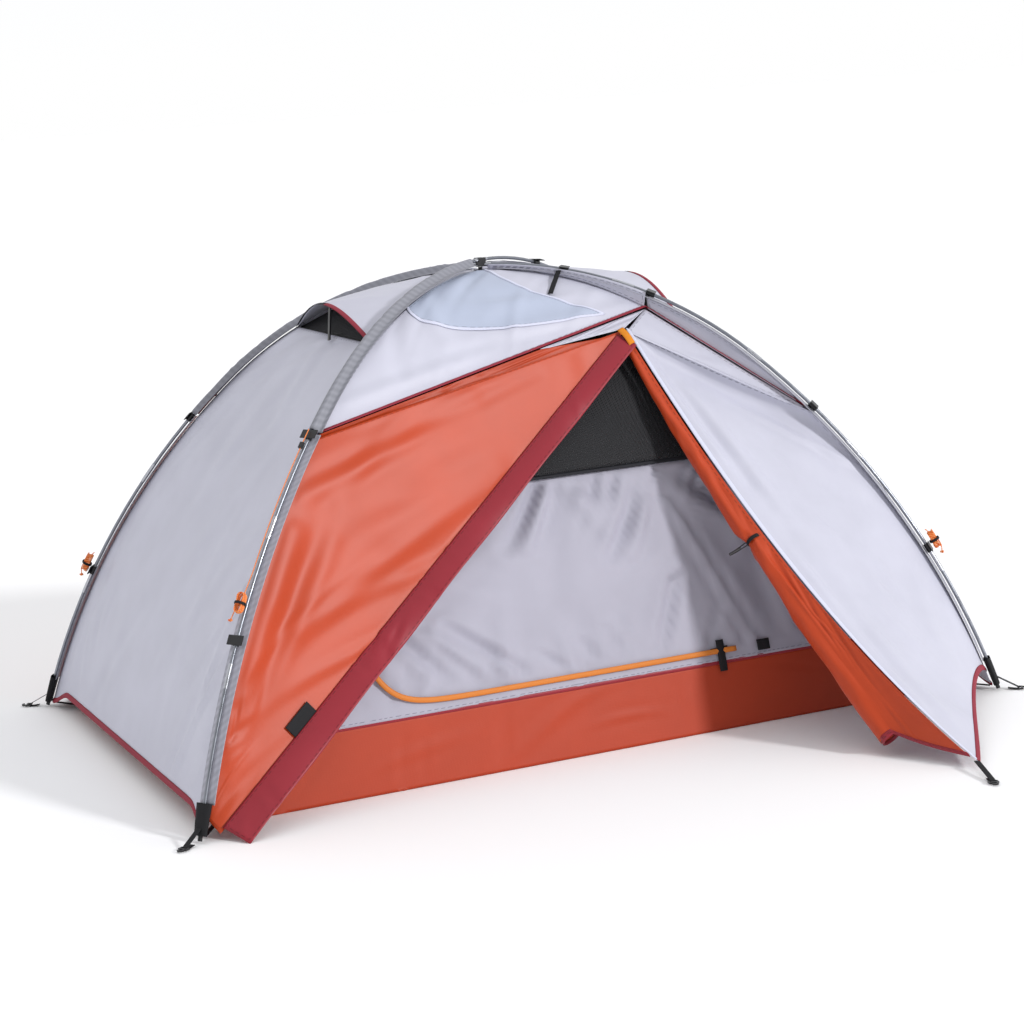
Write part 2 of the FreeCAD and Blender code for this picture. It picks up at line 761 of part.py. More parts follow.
def make_fly():
    """Fly panels: ends and vents, then the front vestibule, then its mirror at the back."""
    end, hood, mesh = end_panel(), vent_hood(), vent_mesh()
    add_shape("fly_end_left", end)
    add_shape("fly_end_right", end_mirrored(end))
    add_shape("vent_hood_left", hood)
    add_shape("vent_hood_right", end_mirrored(hood))
    group("vent_meshes", [mesh, end_mirrored(mesh)])
    roof = roof_solid()
    crown = roof.common(crown_cutter(0))
    around = roof.cut(crown_cutter(size("panel_gap")))
    panels = {
        "fly_roof": around,
        "vestibule_wall": fixed_panel(),
        "vestibule_side": side_panel(),
        "storm_flap": zip_strip(0, size("flap_width"), size("flap_lift"), size("cloth")),
    }
    for label, solid in panels.items():
        add_shape(f"{label}_front", solid)
        add_shape(f"{label}_back", mirrored(solid))
    pairs = {"crown_panels": [crown], "hood_wings": [hood_wing()], "hood_gussets": gusset()}
    pairs["hood_bindings"] = hood_binding()
    near = 2 * size("panel_gap")
    pairs["door_zips"] = [zip_strip(near, near + size("zip_width"), 0, 1)]
    pairs["roof_straps"] = [tip_strap(), crown_strap()]
    for label, solids in pairs.items():
        group(label, solids + [mirrored(solid) for solid in solids])
    add_shape("door_front", door_roll_solid().fuse(door_flare_solid()))
    add_shape("door_back", mirrored(closed_door()))


# --- inner tent ----------------------------------------------------------------------------


def on_inner(leg, angle, lateral=0.0):
    """A point on an inner tent corner seam: the fly's arch, scaled to the inner's own sizes."""
    point = on_leg(leg, angle, lateral=0, shape=FLY)
    height = size("pole_rise") - size("pole_drop") - size("tip_height")
    scaled = Vector(
        point.x * size("inner_long") / size("foot_span_long"),
        point.y * size("inner_wide") / size("foot_span_wide"),
        (point.z - size("tip_height")) * size("inner_rise") / height,
    )
    return scaled + sideways(leg) * lateral


def inner_angle(height):
    """Angle of the inner's corner seam at a height."""
    rise = size("pole_rise") - size("pole_drop") - size("tip_height")
    return angle_at(FLY, height * rise / size("inner_rise") + size("tip_height"))


def inner_wall(first, second, top, low, bow, rows=8, columns=9):
    """Wall of the inner between two corner seams, from one angle down to another."""
    gap = size("inner_gap")
    middle = (outward(first) + outward(second)).normalize()
    grid = []
    for v in shares(rows):
        angle = top + (low - top) * v
        start = on_inner(first, angle, gap)
        end = on_inner(second, angle, -gap)
        sag = bow * math.sin(math.pi * min(1.0, angle / low))
        row = [blend(start, end, u) - middle * (sag * math.sin(math.pi * u)) for u in shares(columns)]
        grid.append(row)
    return cloth_solid(grid, heart=Vector(0, 0, 200))


def tub():
    """Bathtub floor: a flat floor and four leaning walls in one waterproof sheet."""
    cloth = size("cloth")
    top = inner_angle(size("tub_height"))
    scale = on_inner("rf", top).x / (size("inner_long") / 2)
    half_x, half_y = size("inner_long") / 2, size("inner_wide") / 2
    outer = frustum(half_x, half_y, scale, 0, size("tub_height"))
    inner = frustum(half_x - cloth, half_y - cloth, scale, cloth, size("tub_height") + 1)
    return outer.cut(inner)


def frustum(half_x, half_y, scale, low, high):
    """Solid block between a floor rectangle and the same rectangle scaled at its top."""
    rims = []
    for factor, height in ((1, low), (scale, high)):
        x, y = half_x * factor, half_y * factor
        corners = [Vector(-x, -y, height), Vector(x, -y, height), Vector(x, y, height)]
        corners.append(Vector(-x, y, height))
        rims.append(Part.makePolygon(corners + corners[:1]))
    return Part.makeLoft(rims, True, True)


def make_inner():
    """Inner tent: tub, four walls, mesh tops of the long walls, and its zip."""
    add_shape("inner_tub", tub())
    low = inner_angle(size("tub_height") + size("inner_gap"))
    edge = inner_angle(size("mesh_height"))
    step = size("inner_gap") / size("crown_radius")
    front = inner_wall("lf", "rf", edge + step, low, size("wall_bow"))
    mesh = inner_wall("lf", "rf", TOP_ANGLE, edge - step, 0)
    end = inner_wall("lb", "lf", TOP_ANGLE, low, 0)
    add_shape("inner_wall_front", front)
    add_shape("inner_wall_back", mirrored(front))
    add_shape("inner_wall_left", end)
    add_shape("inner_wall_right", end_mirrored(end))
    group("inner_mesh_panels", [mesh, mirrored(mesh)])
    half = size("inner_zip_width") / 2
    rims = [inner_front(size("inner_zip_height") + rise) for rise in (-half, half)]
    left, right = Vector(-size("inner_zip_left"), 0, 0), Vector(size("inner_zip_right"), 0, 0)
    corners = [rims[0] + left, rims[0] + right, rims[1] + right, rims[1] + left]
    add_shape("inner_zip", flat_sheet(corners, Vector(0, -1, 0), 1))
    make_hangers()


def inner_front(height):
    """Point on the middle line of the inner's front, just outside its wall."""
    edge = on_inner("lf", inner_angle(height))
    return Vector(0, edge.y - size("inner_gap"), height)


def make_hangers():
    """Straps that hold the inner: one under the crossing and one at each foot."""
    top = on_inner("lf", 0).z + size("panel_gap")
    patch = Part.makeCylinder(2 * size("hanger_width"), 1.5, Vector(0, 0, top))
    half = size("hanger_width") / 2
    low = size("pole_rise") - size("pole_drop") - size("tube_radius") - 1
    strap = Part.makeBox(2 * half, 1.5, low - top, Vector(-half, -0.75, top))
    straps = [patch.fuse(strap).removeSplitter()]
    for leg in LEGS:
        x, y = LEGS[leg]
        start = Vector(x * size("inner_long") / 2, y * size("inner_wide") / 2, size("foot_hem") / 2)
        start = start + outward(leg) * size("inner_gap")
        foot = math.hypot(size("foot_span_long"), size("foot_span_wide")) / 2
        end = outward(leg) * (foot - size("sleeve_depth")) + UP * size("foot_hem") / 2
        side = (end - start).cross(UP).normalize() * half
        corners = [start - side, start + side, end + side, end - side]
        straps.append(flat_sheet(corners, UP, 1.5))
    group("inner_hangers", straps)


# --- fittings ------------------------------------------------------------------------------


def frame_at(point, side, along, out):
    """Placement whose own X, Y and Z lie along three square directions."""
    return Placement(point, Rotation(side, along, out, "ZXY"))


def copies(master, places):
    """A master piece's shape, once at each place."""
    shapes = []
    for place in places:
        shape = master.Shape.copy()
        shape.Placement = place.multiply(shape.Placement)
        shapes.append(shape)
    return shapes


def bind(obj, **formulas):
    """Ties an object's properties to cells of the sheet."""
    for name, formula in formulas.items():
        obj.setExpression(name.replace("__", "."), formula)
    return obj


def primitive(kind, name, **formulas):
    """A Part primitive whose sizes are tied to the sheet."""
    return bind(doc.addObject(f"Part::{kind}", name), **formulas)


def joined(kind, name, base, tool):
    """Part::Cut or Part::Fuse of two objects."""
    made = doc.addObject(f"Part::{kind}", name)
    made.Base, made.Tool = base, tool
    return made


def sketch_on(body, name, role="XY_Plane"):
    """Sketch on one of a body's own origin planes."""
    sketch = body.newObject("Sketcher::SketchObject", name)
    plane = next(f for f in body.Origin.OriginFeatures if f.Role == role)
    sketch.AttachmentSupport = [(plane, "")]
    sketch.MapMode = "FlatFace"
    return sketch


def draw_rectangle(sketch, left, right, low, high):
    """Rectangle whose four sides are formulas, measured from the sketch's origin."""
    first = sketch.GeometryCount
    corners = [Vector(-1, -1, 0), Vector(1, -1, 0), Vector(1, 1, 0), Vector(-1, 1, 0)]
    for start, end in zip(corners, corners[1:] + corners[:1]):
        sketch.addGeometry(Part.LineSegment(start, end), False)
    for n in range(4):
        follower = first + (n + 1) % 4
        sketch.addConstraint(Sketcher.Constraint("Coincident", first + n, 2, follower, 1))
    for n, way in enumerate(("Horizontal", "Vertical", "Horizontal", "Vertical")):
        sketch.addConstraint(Sketcher.Constraint(way, first + n))
    sides = (("DistanceX", 0, left), ("DistanceX", 1, right), ("DistanceY", 0, low), ("DistanceY", 2, high))
    for way, line, formula in sides:
        value = 1 if formula in (right, high) else -1
        made = sketch.addConstraint(Sketcher.Constraint(way, first + line, 1, value))
        sketch.setExpression(f"Constraints[{made}]", formula)


def draw_circle(sketch, across, along, radius):
    """Circle whose centre and radius are formulas."""
    made = sketch.addGeometry(Part.Circle(Vector(1, 1, 0), Vector(0, 0, 1), 2), False)
    parts = (("DistanceX", across, 1), ("DistanceY", along, 1))
    for way, formula, value in parts:
        number = sketch.addConstraint(Sketcher.Constraint(way, made, 3, value))
        sketch.setExpression(f"Constraints[{number}]", formula)
    number = sketch.addConstraint(Sketcher.Constraint("Radius", made, 2))
    sketch.setExpression(f"Constraints[{number}]", radius)


def pad(body, sketch, name, length):
    """Pad of a sketch, with its length tied to a formula."""
    made = body.newObject("PartDesign::Pad", name)
    made.Profile = sketch
    made.setExpression("Length", length)
    body.Tip = made
    return made


def peg_hook(label):
    """Moulded hook: a frame with a bar for the webbing and an open ring for the peg."""
    body = doc.addObject("PartDesign::Body", f"{label}_body")
    frame = sketch_on(body, f"{label}_frame")
    half = "sizes.hook_width / 2"
    draw_rectangle(frame, f"-{half}", half, "-sizes.hook_bar / 2", "sizes.hook_depth - sizes.hook_bar / 2")
    slot = "sizes.hook_width / 2 - sizes.hook_bar"
    draw_rectangle(frame, f"-({slot})", slot, "sizes.hook_bar / 2", "sizes.hook_bar / 2 + sizes.hook_window")
    pad(body, frame, f"{label}_plate", "sizes.hook_thick")
    ring = sketch_on(body, f"{label}_ring")
    reach = "sizes.hook_depth + sizes.hook_ring - 2 * sizes.hook_bar"
    draw_circle(ring, "0", reach, "sizes.hook_ring")
    pad(body, ring, f"{label}_disc", "sizes.hook_thick")
    doc.recompute()
    bore = sketch_on(body, f"{label}_bore")
    draw_circle(bore, "0", reach, "sizes.hook_bore")
    cut_through(body, bore, f"{label}_hole", "sizes.hook_thick")
    mouth = sketch_on(body, f"{label}_mouth")
    gap = "sizes.hook_mouth / 2"
    draw_rectangle(mouth, "0", "sizes.hook_ring + 1", f"{reach} - {gap}", f"{reach} + {gap}")
    cut_through(body, mouth, f"{label}_gap", "sizes.hook_thick")
    return body


def cut_through(body, sketch, name, length):
    """Pocket up through the whole plate, which stands on the sketch's plane."""
    made = body.newObject("PartDesign::Pocket", name)
    made.Profile = sketch
    made.Reversed = True
    made.setExpression("Length", length)
    body.Tip = made
    return made


PEG_POINTS = {
    "foot_lf": "lf",
    "foot_rf": "rf",
    "foot_rb": "rb",
    "foot_lb": "lb",
    "front": None,
    "back": None,
}


def peg_frame(point):
    """Ground point of a peg hook's bar and the horizontal direction in which it lies."""
    leg = PEG_POINTS[point]
    if leg:
        foot = outward(leg) * math.hypot(size("foot_span_long"), size("foot_span_wide")) / 2
        way = outward(leg)
        return foot + way * size("peg_reach"), way
    corner = peg_corner()
    away = Vector(-0.28, -1, 0).normalize()
    if point == "back":
        corner = Vector(corner.x, -corner.y, 0)
        away = Vector(away.x, -away.y, 0)
    corner.z = 0
    return corner + away * (2 * size("peg_reach")), away


def webbing_loop(point):
    """Webbing from the tent down to the ground and round the bar of its peg hook."""
    bar, way = peg_frame(point)
    bar = bar + UP * (size("hook_float") + size("hook_thick") / 2)
    side = UP.cross(way)
    half = side * size("webbing_width") / 2
    reach = math.hypot(size("hook_bar"), size("hook_thick")) / 2 + size("hook_play")
    outer = reach + size("webbing_wall")
    loop = Part.makeCylinder(outer, size("webbing_width"), bar - half, side)
    hole = Part.makeCylinder(reach, size("webbing_width"), bar - half, side)
    start = bar - way * reach
    end = bar - way * (size("peg_reach") - 2 * size("tip_radius") - size("hook_bar"))
    rise = UP * size("webbing_wall")
    tail = flat_sheet([start - half, start + half, end + half + rise, end - half + rise], UP, size("webbing_wall"))
    return loop.fuse(tail).cut(hole).removeSplitter()


def make_pegging():
    """Webbing loops at the four feet and the two vestibule corners, each with its hook."""
    group("peg_webbings", [webbing_loop(point) for point in PEG_POINTS])
    for point in PEG_POINTS:
        label = f"peg_hook_{point}"
        body = peg_hook(label)
        bar, way = peg_frame(point)
        body.Placement = frame_at(bar + UP * size("hook_float"), way.cross(UP), way, UP)
        keep(body, label)


def make_clips():
    """Pole clips: a split ring on a plate that is sewn to the backing band."""
    wall = "sizes.clip_wall"
    ring = primitive("Cylinder", "clip_ring", Radius=f"sizes.tube_radius + sizes.clip_play + {wall}",
                     Height="sizes.clip_length")
    plate = primitive("Box", "clip_plate", Length="sizes.cover_width", Width=wall, Height="sizes.clip_length")
    bind(plate, Placement__Base__x="-sizes.cover_width / 2",
         Placement__Base__y="-sizes.tube_radius - sizes.clip_play - sizes.clip_wall")
    bore = primitive("Cylinder", "clip_bore", Radius="sizes.tube_radius + sizes.clip_play",
                     Height="sizes.clip_length")
    slot = primitive("Box", "clip_slot", Length="sizes.tube_radius", Width="2 * sizes.tube_radius",
                     Height="sizes.clip_length")
    bind(slot, Placement__Base__x="-sizes.tube_radius / 2")
    solid = joined("Fuse", "clip_solid", ring, plate)
    holed = joined("Cut", "clip_holed", solid, bore)
    master = joined("Cut", "clip_master", holed, slot)
    doc.recompute()
    places = [clip_place(leg, size(f"clip_height_{pole}")) for leg, pole in LEG_POLE.items()]
    for leg in ("rf", "rb"):
        places += [clip_place(leg, level(mark)) for mark in ("crown_strap", "hood_peak", "hood_end")]
    places.append(clip_place("lf", level("sleeve_end_a") - size("panel_gap")))
    places.append(clip_place("lb", level("sleeve_end_b") - size("panel_gap")))
    group("pole_clips", copies(master, places))


def clip_place(leg, height):
    """Placement of a clip's ring round a pole at a height, with its plate behind the pole."""
    angle = angle_at(ARCH[LEG_POLE[leg]], height)
    point = on_leg(leg, angle)
    return frame_at(point, -sideways(leg), normal(leg, angle), tangent(leg, angle))


def make_crossing():
    """Moulded fitting that ties the two poles together where they cross."""
    top = size("pole_rise") + size("tube_radius") + 1
    low = size("pole_rise") - size("pole_drop") - size("tube_radius") - 1
    half = size("clip_length") / 2
    block = Part.makeBox(2 * half, 2 * half, top - low, Vector(-half, -half, low))
    play = size("ferrule_play") + size("ferrule_wall") + size("clip_play")
    rod = ring_profile(size("tube_radius") + play)
    turn = 4 * half / size("crown_radius")
    for leg in LEGS:
        block = block.cut(bend(leg, 0, turn, rod))
    add_shape("crossing_tie", block)


def slider(label, point, along, across, out):
    """Zip slider: a body with a pull tab that hangs down the zip."""
    body = doc.addObject("PartDesign::Body", f"{label}_body")
    base = sketch_on(body, f"{label}_base")
    half = "sizes.slider_width / 2"
    draw_rectangle(base, f"-{half}", half, "-sizes.slider_length / 2", "sizes.slider_length / 2")
    pad(body, base, f"{label}_shell", "sizes.slider_height")
    tab = sketch_on(body, f"{label}_tab")
    quarter = "sizes.slider_width / 4"
    draw_rectangle(tab, f"-{quarter}", quarter, "sizes.slider_length / 2 - 1", "sizes.slider_length / 2 + sizes.slider_tab")
    pad(body, tab, f"{label}_pull", "sizes.slider_height / 2")
    body.Placement = frame_at(point, across, along, out)
    return keep(body, label)


def make_sliders():
    """Sliders of the two door zips and of the inner tent's zip, with that straight zip."""
    run = (zip_foot() - door_apex()).normalize()
    across = in_door_plane(run)
    out = door_normal()
    middle = 2 * size("panel_gap") + size("zip_width") / 2
    top = door_apex() + run * (3 * size("zip_width") + size("slider_length"))
    inward = top + across * middle - out * size("panel_gap") / 3
    slider("zip_slider_front", inward, run, -across, -out)
    back = Vector(inward.x, -inward.y, inward.z)
    run_back, out_back = Vector(run.x, -run.y, run.z), Vector(out.x, -out.y, out.z)
    across_back = Vector(across.x, -across.y, across.z)
    slider("zip_slider_back", back, run_back, across_back, -out_back)
    low = inner_front(size("inner_zip_height"))
    spot = low + Vector(size("inner_zip_right") - 2 * size("slider_length"), -2, 0)
    up = (inner_front(size("inner_zip_height") + 10) - low).normalize()
    slider("inner_zip_slider", spot, Vector(1, 0, 0), up, Vector(1, 0, 0).cross(up))


def make_props():
    """Stiffened webbing props that hold the vent hoods open."""
    for label, turn in (("vent_prop_left", -1), ("vent_prop_right", 1)):
        foot, head = prop_ends(turn)
        box = primitive("Box", f"{label}_bar", Length="sizes.prop_thick", Width="sizes.prop_width")
        box.Height = (head - foot).Length
        up = (head - foot).normalize()
        across = Vector(0, 1, 0)
        out = across.cross(up).normalize()
        box.Placement = frame_at(foot, out, up.cross(out), up)
        keep(box, label)


def prop_ends(turn):
    """Foot of a prop, on the end panel, and its head, under the middle of the hood's edge."""
    base = on_leg("lf", fly_angle(level("vent_height")), size("fly_depth"), 0, FLY)
    foot = Vector(abs(base.x) + 26, -40, base.z - 6)
    head = Vector(abs(base.x) + 9, -16, base.z + size("vent_lift") - 8)
    return [Vector(turn * point.x, point.y, point.z) for point in (foot, head)]


def make_toggle():
    """Door toggle with the cord loop that ties up the rolled door."""
    spot = toggle_spot()
    way = in_door_plane((peg_corner() - door_apex()).normalize())
    bar = primitive("Cylinder", "door_toggle_bar", Radius="sizes.toggle_radius", Height="sizes.toggle_length")
    run = (peg_corner() - door_apex()).normalize()
    side = run.cross(way)
    bar.Placement = frame_at(spot - way * size("toggle_length") / 2, run, side, way)
    keep(bar, "door_toggle")


def toggle_spot():
    """Centre of the toggle, just inside the rolled door."""
    station, radius = TIE_STATION
    run = (peg_corner() - door_apex()).normalize()
    aside = in_door_plane(run)
    clear = 2 * radius + 10 + 3 * size("toggle_radius")
    return ridge(station) + aside * (clear + size("toggle_length") / 2) - door_normal() * radius


def make_label():
    """Plain dark patch sewn to the vestibule wall beside the zip."""
    leg, seam = wall_curves()
    length = (zip_foot() - door_apex()).Length
    low = 0.82
    high = low - size("label_long") / length
    grid = []
    for down in (low, (low + high) / 2, high):
        rule = leg(down) - seam(down)
        shift = rule.normalize() * size("label_wide")
        lift = door_normal() * (2 * size("cloth"))
        near = seam(down) + shift * 0.3 + lift
        grid.append([near, near + shift * 0.5, near + shift])
    add_shape("label_patch", cloth_solid(grid, 1))


# --- guy lines -----------------------------------------------------------------------------


def guy_points():
    """Route of the front left guy line: down its pole, then away to its tied hank."""
    start = angle_at(ARCH["a"], level("sleeve_end_a") - 5)
    leave = angle_at(ARCH["a"], level("guy_leave"))
    end = angle_at(ARCH["a"], level("guy_end"))
    points = [on_leg("lf", blend(start, leave, share), -size("guy_lift")) for share in shares(7)]
    for share in (0.5, 1):
        aside = -20 * share
        points.append(on_leg("lf", blend(leave, end, share), -size("guy_lift") - 4 * share, aside))
    return points


def rounded_wire(points):
    """Straight runs joined by arcs that touch both."""
    edges, start = [], points[0]
    for before, corner, after in zip(points, points[1:], points[2:]):
        into, away = corner - before, after - corner
        half = into.getAngle(away) / 2
        cut = 0.45 * min(into.Length, away.Length)
        radius = cut / math.tan(half)
        into.normalize()
        away.normalize()
        middle = corner + (away - into).normalize() * (radius / math.cos(half) - radius)
        edges.append(Part.makeLine(start, corner - into * cut))
        edges.append(Part.Arc(corner - into * cut, middle, corner + away * cut).toShape())
        start = corner + away * cut
    edges.append(Part.makeLine(start, points[-1]))
    return Part.Wire(edges)


def make_guy_lines():
    """The line that shows, its lock, and the tied hanks at the four lower clips."""
    points = guy_points()
    path = rounded_wire(points)
    ring = Part.Wire(Part.makeCircle(size("guy_radius"), points[0], points[1] - points[0]))
    add_shape("guy_line_lf", path.makePipeShell([ring], True, False))
    make_lock()
    spots = {"lf": 505, "rb": 505, "lb": size("clip_height_b"), "rf": size("clip_height_b")}
    for leg, height in spots.items():
        label = f"guy_hank_{leg}"
        hank = primitive("Ellipsoid", label, Radius1="sizes.hank_length / 2",
                         Radius2="sizes.hank_width / 2", Radius3="sizes.hank_thick / 2")
        bind(hank, Angle1="-90", Angle2="90", Angle3="360")
        hank.Placement = hank_place(leg, height)
        keep(hank, label)


def hank_place(leg, height):
    """Placement of a hank that hangs outside its pole, clear of the clips."""
    angle = angle_at(ARCH[LEG_POLE[leg]], height)
    out, side = normal(leg, angle), sideways(leg)
    lift = size("guy_lift") + size("hank_width") / 2
    point = on_leg(leg, angle, -lift)
    return frame_at(point, side, out, tangent(leg, angle))


def make_lock():
    """Small moulded lock through which the guy line runs."""
    bar = primitive("Box", "guy_lock_bar", Length="sizes.lock_width", Width="sizes.lock_width * 3 / 4",
                    Height="sizes.lock_length")
    bind(bar, Placement__Base__x="-sizes.lock_width / 2", Placement__Base__y="-sizes.lock_width * 3 / 8")
    bore = primitive("Cylinder", "guy_lock_bore", Radius="sizes.guy_radius + sizes.lock_play",
                     Height="sizes.lock_length")
    lock = joined("Cut", "guy_lock_solid", bar, bore)
    angle = angle_at(ARCH["a"], level("lock_height"))
    point = on_leg("lf", angle, -size("guy_lift"))
    lock.Placement = frame_at(point, sideways("lf"), normal("lf", angle), tangent("lf", angle))
    keep(lock, "guy_lock")


make_poles()
make_pole_covers()
make_fly()
make_inner()
make_pegging()
make_clips()
make_crossing()
make_sliders()
make_props()
make_toggle()
make_label()
make_guy_lines()
doc.recompute()

for item in doc.Objects:
    if "Invalid" in item.State or "Error" in item.State:
        raise RuntimeError(f"{item.Label} did not recompute: {item.State}")
for node in exports:
    if node.Shape.isNull() or not node.Shape.isValid():
        raise RuntimeError(f"{node.Label} has no valid shape")
    node.Shape.exportStep(f"parts/{node.Label}.step")
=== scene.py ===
import math

import bpy
import numpy as np
from mathutils import Matrix, Vector


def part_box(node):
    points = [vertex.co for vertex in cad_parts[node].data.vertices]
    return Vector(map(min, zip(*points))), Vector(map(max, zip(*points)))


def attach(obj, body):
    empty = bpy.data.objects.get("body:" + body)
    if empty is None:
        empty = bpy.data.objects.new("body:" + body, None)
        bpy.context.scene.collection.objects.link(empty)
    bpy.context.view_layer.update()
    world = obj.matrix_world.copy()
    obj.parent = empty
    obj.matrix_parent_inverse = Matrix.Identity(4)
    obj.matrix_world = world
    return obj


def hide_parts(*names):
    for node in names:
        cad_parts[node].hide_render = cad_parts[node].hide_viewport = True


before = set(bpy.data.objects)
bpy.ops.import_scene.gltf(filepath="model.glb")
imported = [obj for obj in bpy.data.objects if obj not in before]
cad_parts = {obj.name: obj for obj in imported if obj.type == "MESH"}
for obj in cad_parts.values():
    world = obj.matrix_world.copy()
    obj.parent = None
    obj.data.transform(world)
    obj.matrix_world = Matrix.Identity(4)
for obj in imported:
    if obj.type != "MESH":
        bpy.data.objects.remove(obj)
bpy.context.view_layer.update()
bpy.ops.object.select_all(action="DESELECT")

# --- camera --------------------------------------------------------------------------------

YAW, PITCH, ROLL = 0.4117, 0.1885, -0.0624
forward = Vector((math.sin(YAW) * math.cos(PITCH), math.cos(YAW) * math.cos(PITCH), -math.sin(PITCH)))
level = Vector((math.cos(YAW), -math.sin(YAW), 0))
lift = level.cross(forward)
right = level * math.cos(ROLL) + lift * math.sin(ROLL)
above = lift * math.cos(ROLL) - level * math.sin(ROLL)
lens = bpy.data.cameras.new("camera")
lens.lens = 86.4
lens.sensor_width = 36
lens.clip_end = 200
camera = bpy.data.objects.new("camera", lens)
camera.matrix_world = Matrix.Translation((-2.5718, -5.9987, 1.7620)) @ Matrix((right, above, -forward)).transposed().to_4x4()
bpy.context.scene.collection.objects.link(camera)
bpy.context.scene.camera = camera

# --- tent geometry, in metres ----------------------------------------------------------------
# Both poles are arches in upright planes through the centre. An angle is measured from the top
# of the arch, and a leg is named for its corner: l or r for the end, f or b for the side.

SPAN = np.array([2.200, 1.450])
TIP = 0.016
CROWN = 1.080
SWEEP = math.radians(41)
GAP = 0.003
UP = np.array([0.0, 0.0, 1.0])
CORNERS = {"lf": (-1, -1), "rf": (1, -1), "rb": (1, 1), "lb": (-1, 1)}


def arch(rise):
    """Crown and leg arcs of a pole whose top is at this height."""
    reach = np.hypot(*SPAN) / 2
    low = rise - CROWN
    foot = TIP - low
    along = reach * math.sin(SWEEP) + foot * math.cos(SWEEP)
    leg = (reach**2 + foot**2 - 2 * CROWN * along + CROWN**2) / (2 * (CROWN - along))
    out = (CROWN - leg) * math.sin(SWEEP)
    up = low + (CROWN - leg) * math.cos(SWEEP)
    return {"crown": (0.0, low, CROWN), "leg": (out, up, leg), "end": math.acos((TIP - up) / leg)}


POLE = {"lf": arch(1.202), "rb": arch(1.202), "lb": arch(1.190), "rf": arch(1.190)}
FLY = arch(1.190)


def unit(vector):
    vector = np.asarray(vector, float)
    return vector / np.linalg.norm(vector, axis=-1, keepdims=True)


def outward(leg):
    x, y = CORNERS[leg]
    return unit([x * SPAN[0], y * SPAN[1], 0])


def sideways(leg):
    return np.cross(UP, outward(leg))


def leg_normal(leg, angle):
    angle = np.asarray(angle, float)[..., None]
    return outward(leg) * np.sin(angle) + UP * np.cos(angle)


def leg_run(leg, angle):
    angle = np.asarray(angle, float)[..., None]
    return outward(leg) * np.cos(angle) - UP * np.sin(angle)


def on_leg(leg, angle, inset=0.014, lateral=0.0, shape=None):
    """Points near a leg: inset behind the pole's centre line, and lateral beside its plane."""
    shape = shape or FLY
    angle = np.asarray(angle, float)
    crown = angle <= SWEEP
    out = np.where(crown, shape["crown"][0], shape["leg"][0])
    up = np.where(crown, shape["crown"][1], shape["leg"][1])
    reach = np.where(crown, shape["crown"][2], shape["leg"][2]) - inset
    flat = outward(leg) * (out + reach * np.sin(angle))[..., None]
    flat = flat + UP * (up + reach * np.cos(angle))[..., None]
    return flat + sideways(leg) * (np.asarray(lateral, float) + 0 * angle)[..., None]


def angle_at(height, shape=None):
    """Angle at which an arch passes a height."""
    shape = shape or FLY
    height = np.asarray(height, float)
    turn = shape["crown"][1] + CROWN * math.cos(SWEEP)
    up = np.where(height < turn, shape["leg"][1], shape["crown"][1])
    reach = np.where(height < turn, shape["leg"][2], CROWN)
    return np.arccos(np.clip((height - up) / reach, -1, 1))


def steps(count, start=0.0, end=1.0):
    return np.linspace(start, end, count)


def mix(first, second, share):
    first, second = np.asarray(first, float), np.asarray(second, float)
    share = np.asarray(share, float)
    return first + (second - first) * (share[..., None] if share.ndim else share)


def leg_line(leg, start, end, turn):
    """Curve under a leg between two angles, on the side of its plane that turn names."""
    return lambda share: on_leg(leg, start + (end - start) * share, lateral=turn * GAP)


def rules(first, second, rows, columns):
    """Grid of straight rules between two curves."""
    down = steps(rows)
    a, b = first(down), second(down)
    across = steps(columns)[None, :, None]
    return a[:, None, :] * (1 - across) + b[:, None, :] * across


HOOD_TIP = on_leg("rf", angle_at(1.097), lateral=-GAP) - UP * 0.026
APEX = HOOD_TIP + np.array([-0.082, -0.040, -0.046])
PEG_CORNER = np.array([0.647, -1.286, 0.022])
ZIP_FOOT = on_leg("lf", angle_at(0.022), lateral=GAP) + np.array([0.028, -0.024, 0])
LEFT_SHOULDER = on_leg("lf", angle_at(0.873), lateral=GAP)
RIGHT_SHOULDER = on_leg("rf", angle_at(0.786), lateral=-GAP)
ZIP_RUN = unit(ZIP_FOOT - APEX)
RIDGE_RUN = unit(PEG_CORNER - APEX)
DOOR_OUT = unit(np.cross(ZIP_RUN, RIDGE_RUN))
DOOR_OUT = DOOR_OUT if DOOR_OUT[1] < 0 else -DOOR_OUT


def into_opening(run):
    """Unit vector in the door's plane, square to a run, towards the opening."""
    across = unit(np.cross(DOOR_OUT, run))
    middle = (ZIP_FOOT + PEG_CORNER) / 2 - APEX
    return across if across @ middle > 0 else -across


ZIP_ACROSS = into_opening(ZIP_RUN)
RIDGE_ASIDE = into_opening(RIDGE_RUN)


def ridge(share):
    """The seam from the door's apex to the pegged corner, which sags under the cloth."""
    share = np.asarray(share, float)
    point = mix(APEX, PEG_CORNER, share)
    return point - UP * (0.095 * 4 * share * (1 - share))[..., None]


def front_back(grid):
    return grid * np.array([1.0, -1.0, 1.0])


def left_right(grid):
    return grid * np.array([-1.0, 1.0, 1.0])


# --- cords -----------------------------------------------------------------------------------
# Two-millimetre-class braided guy line. Each line is wound into a small hank beside its pole.

CORD = 0.0025
HANK_RUN = 0.0145
HANK_BEND = 0.0095


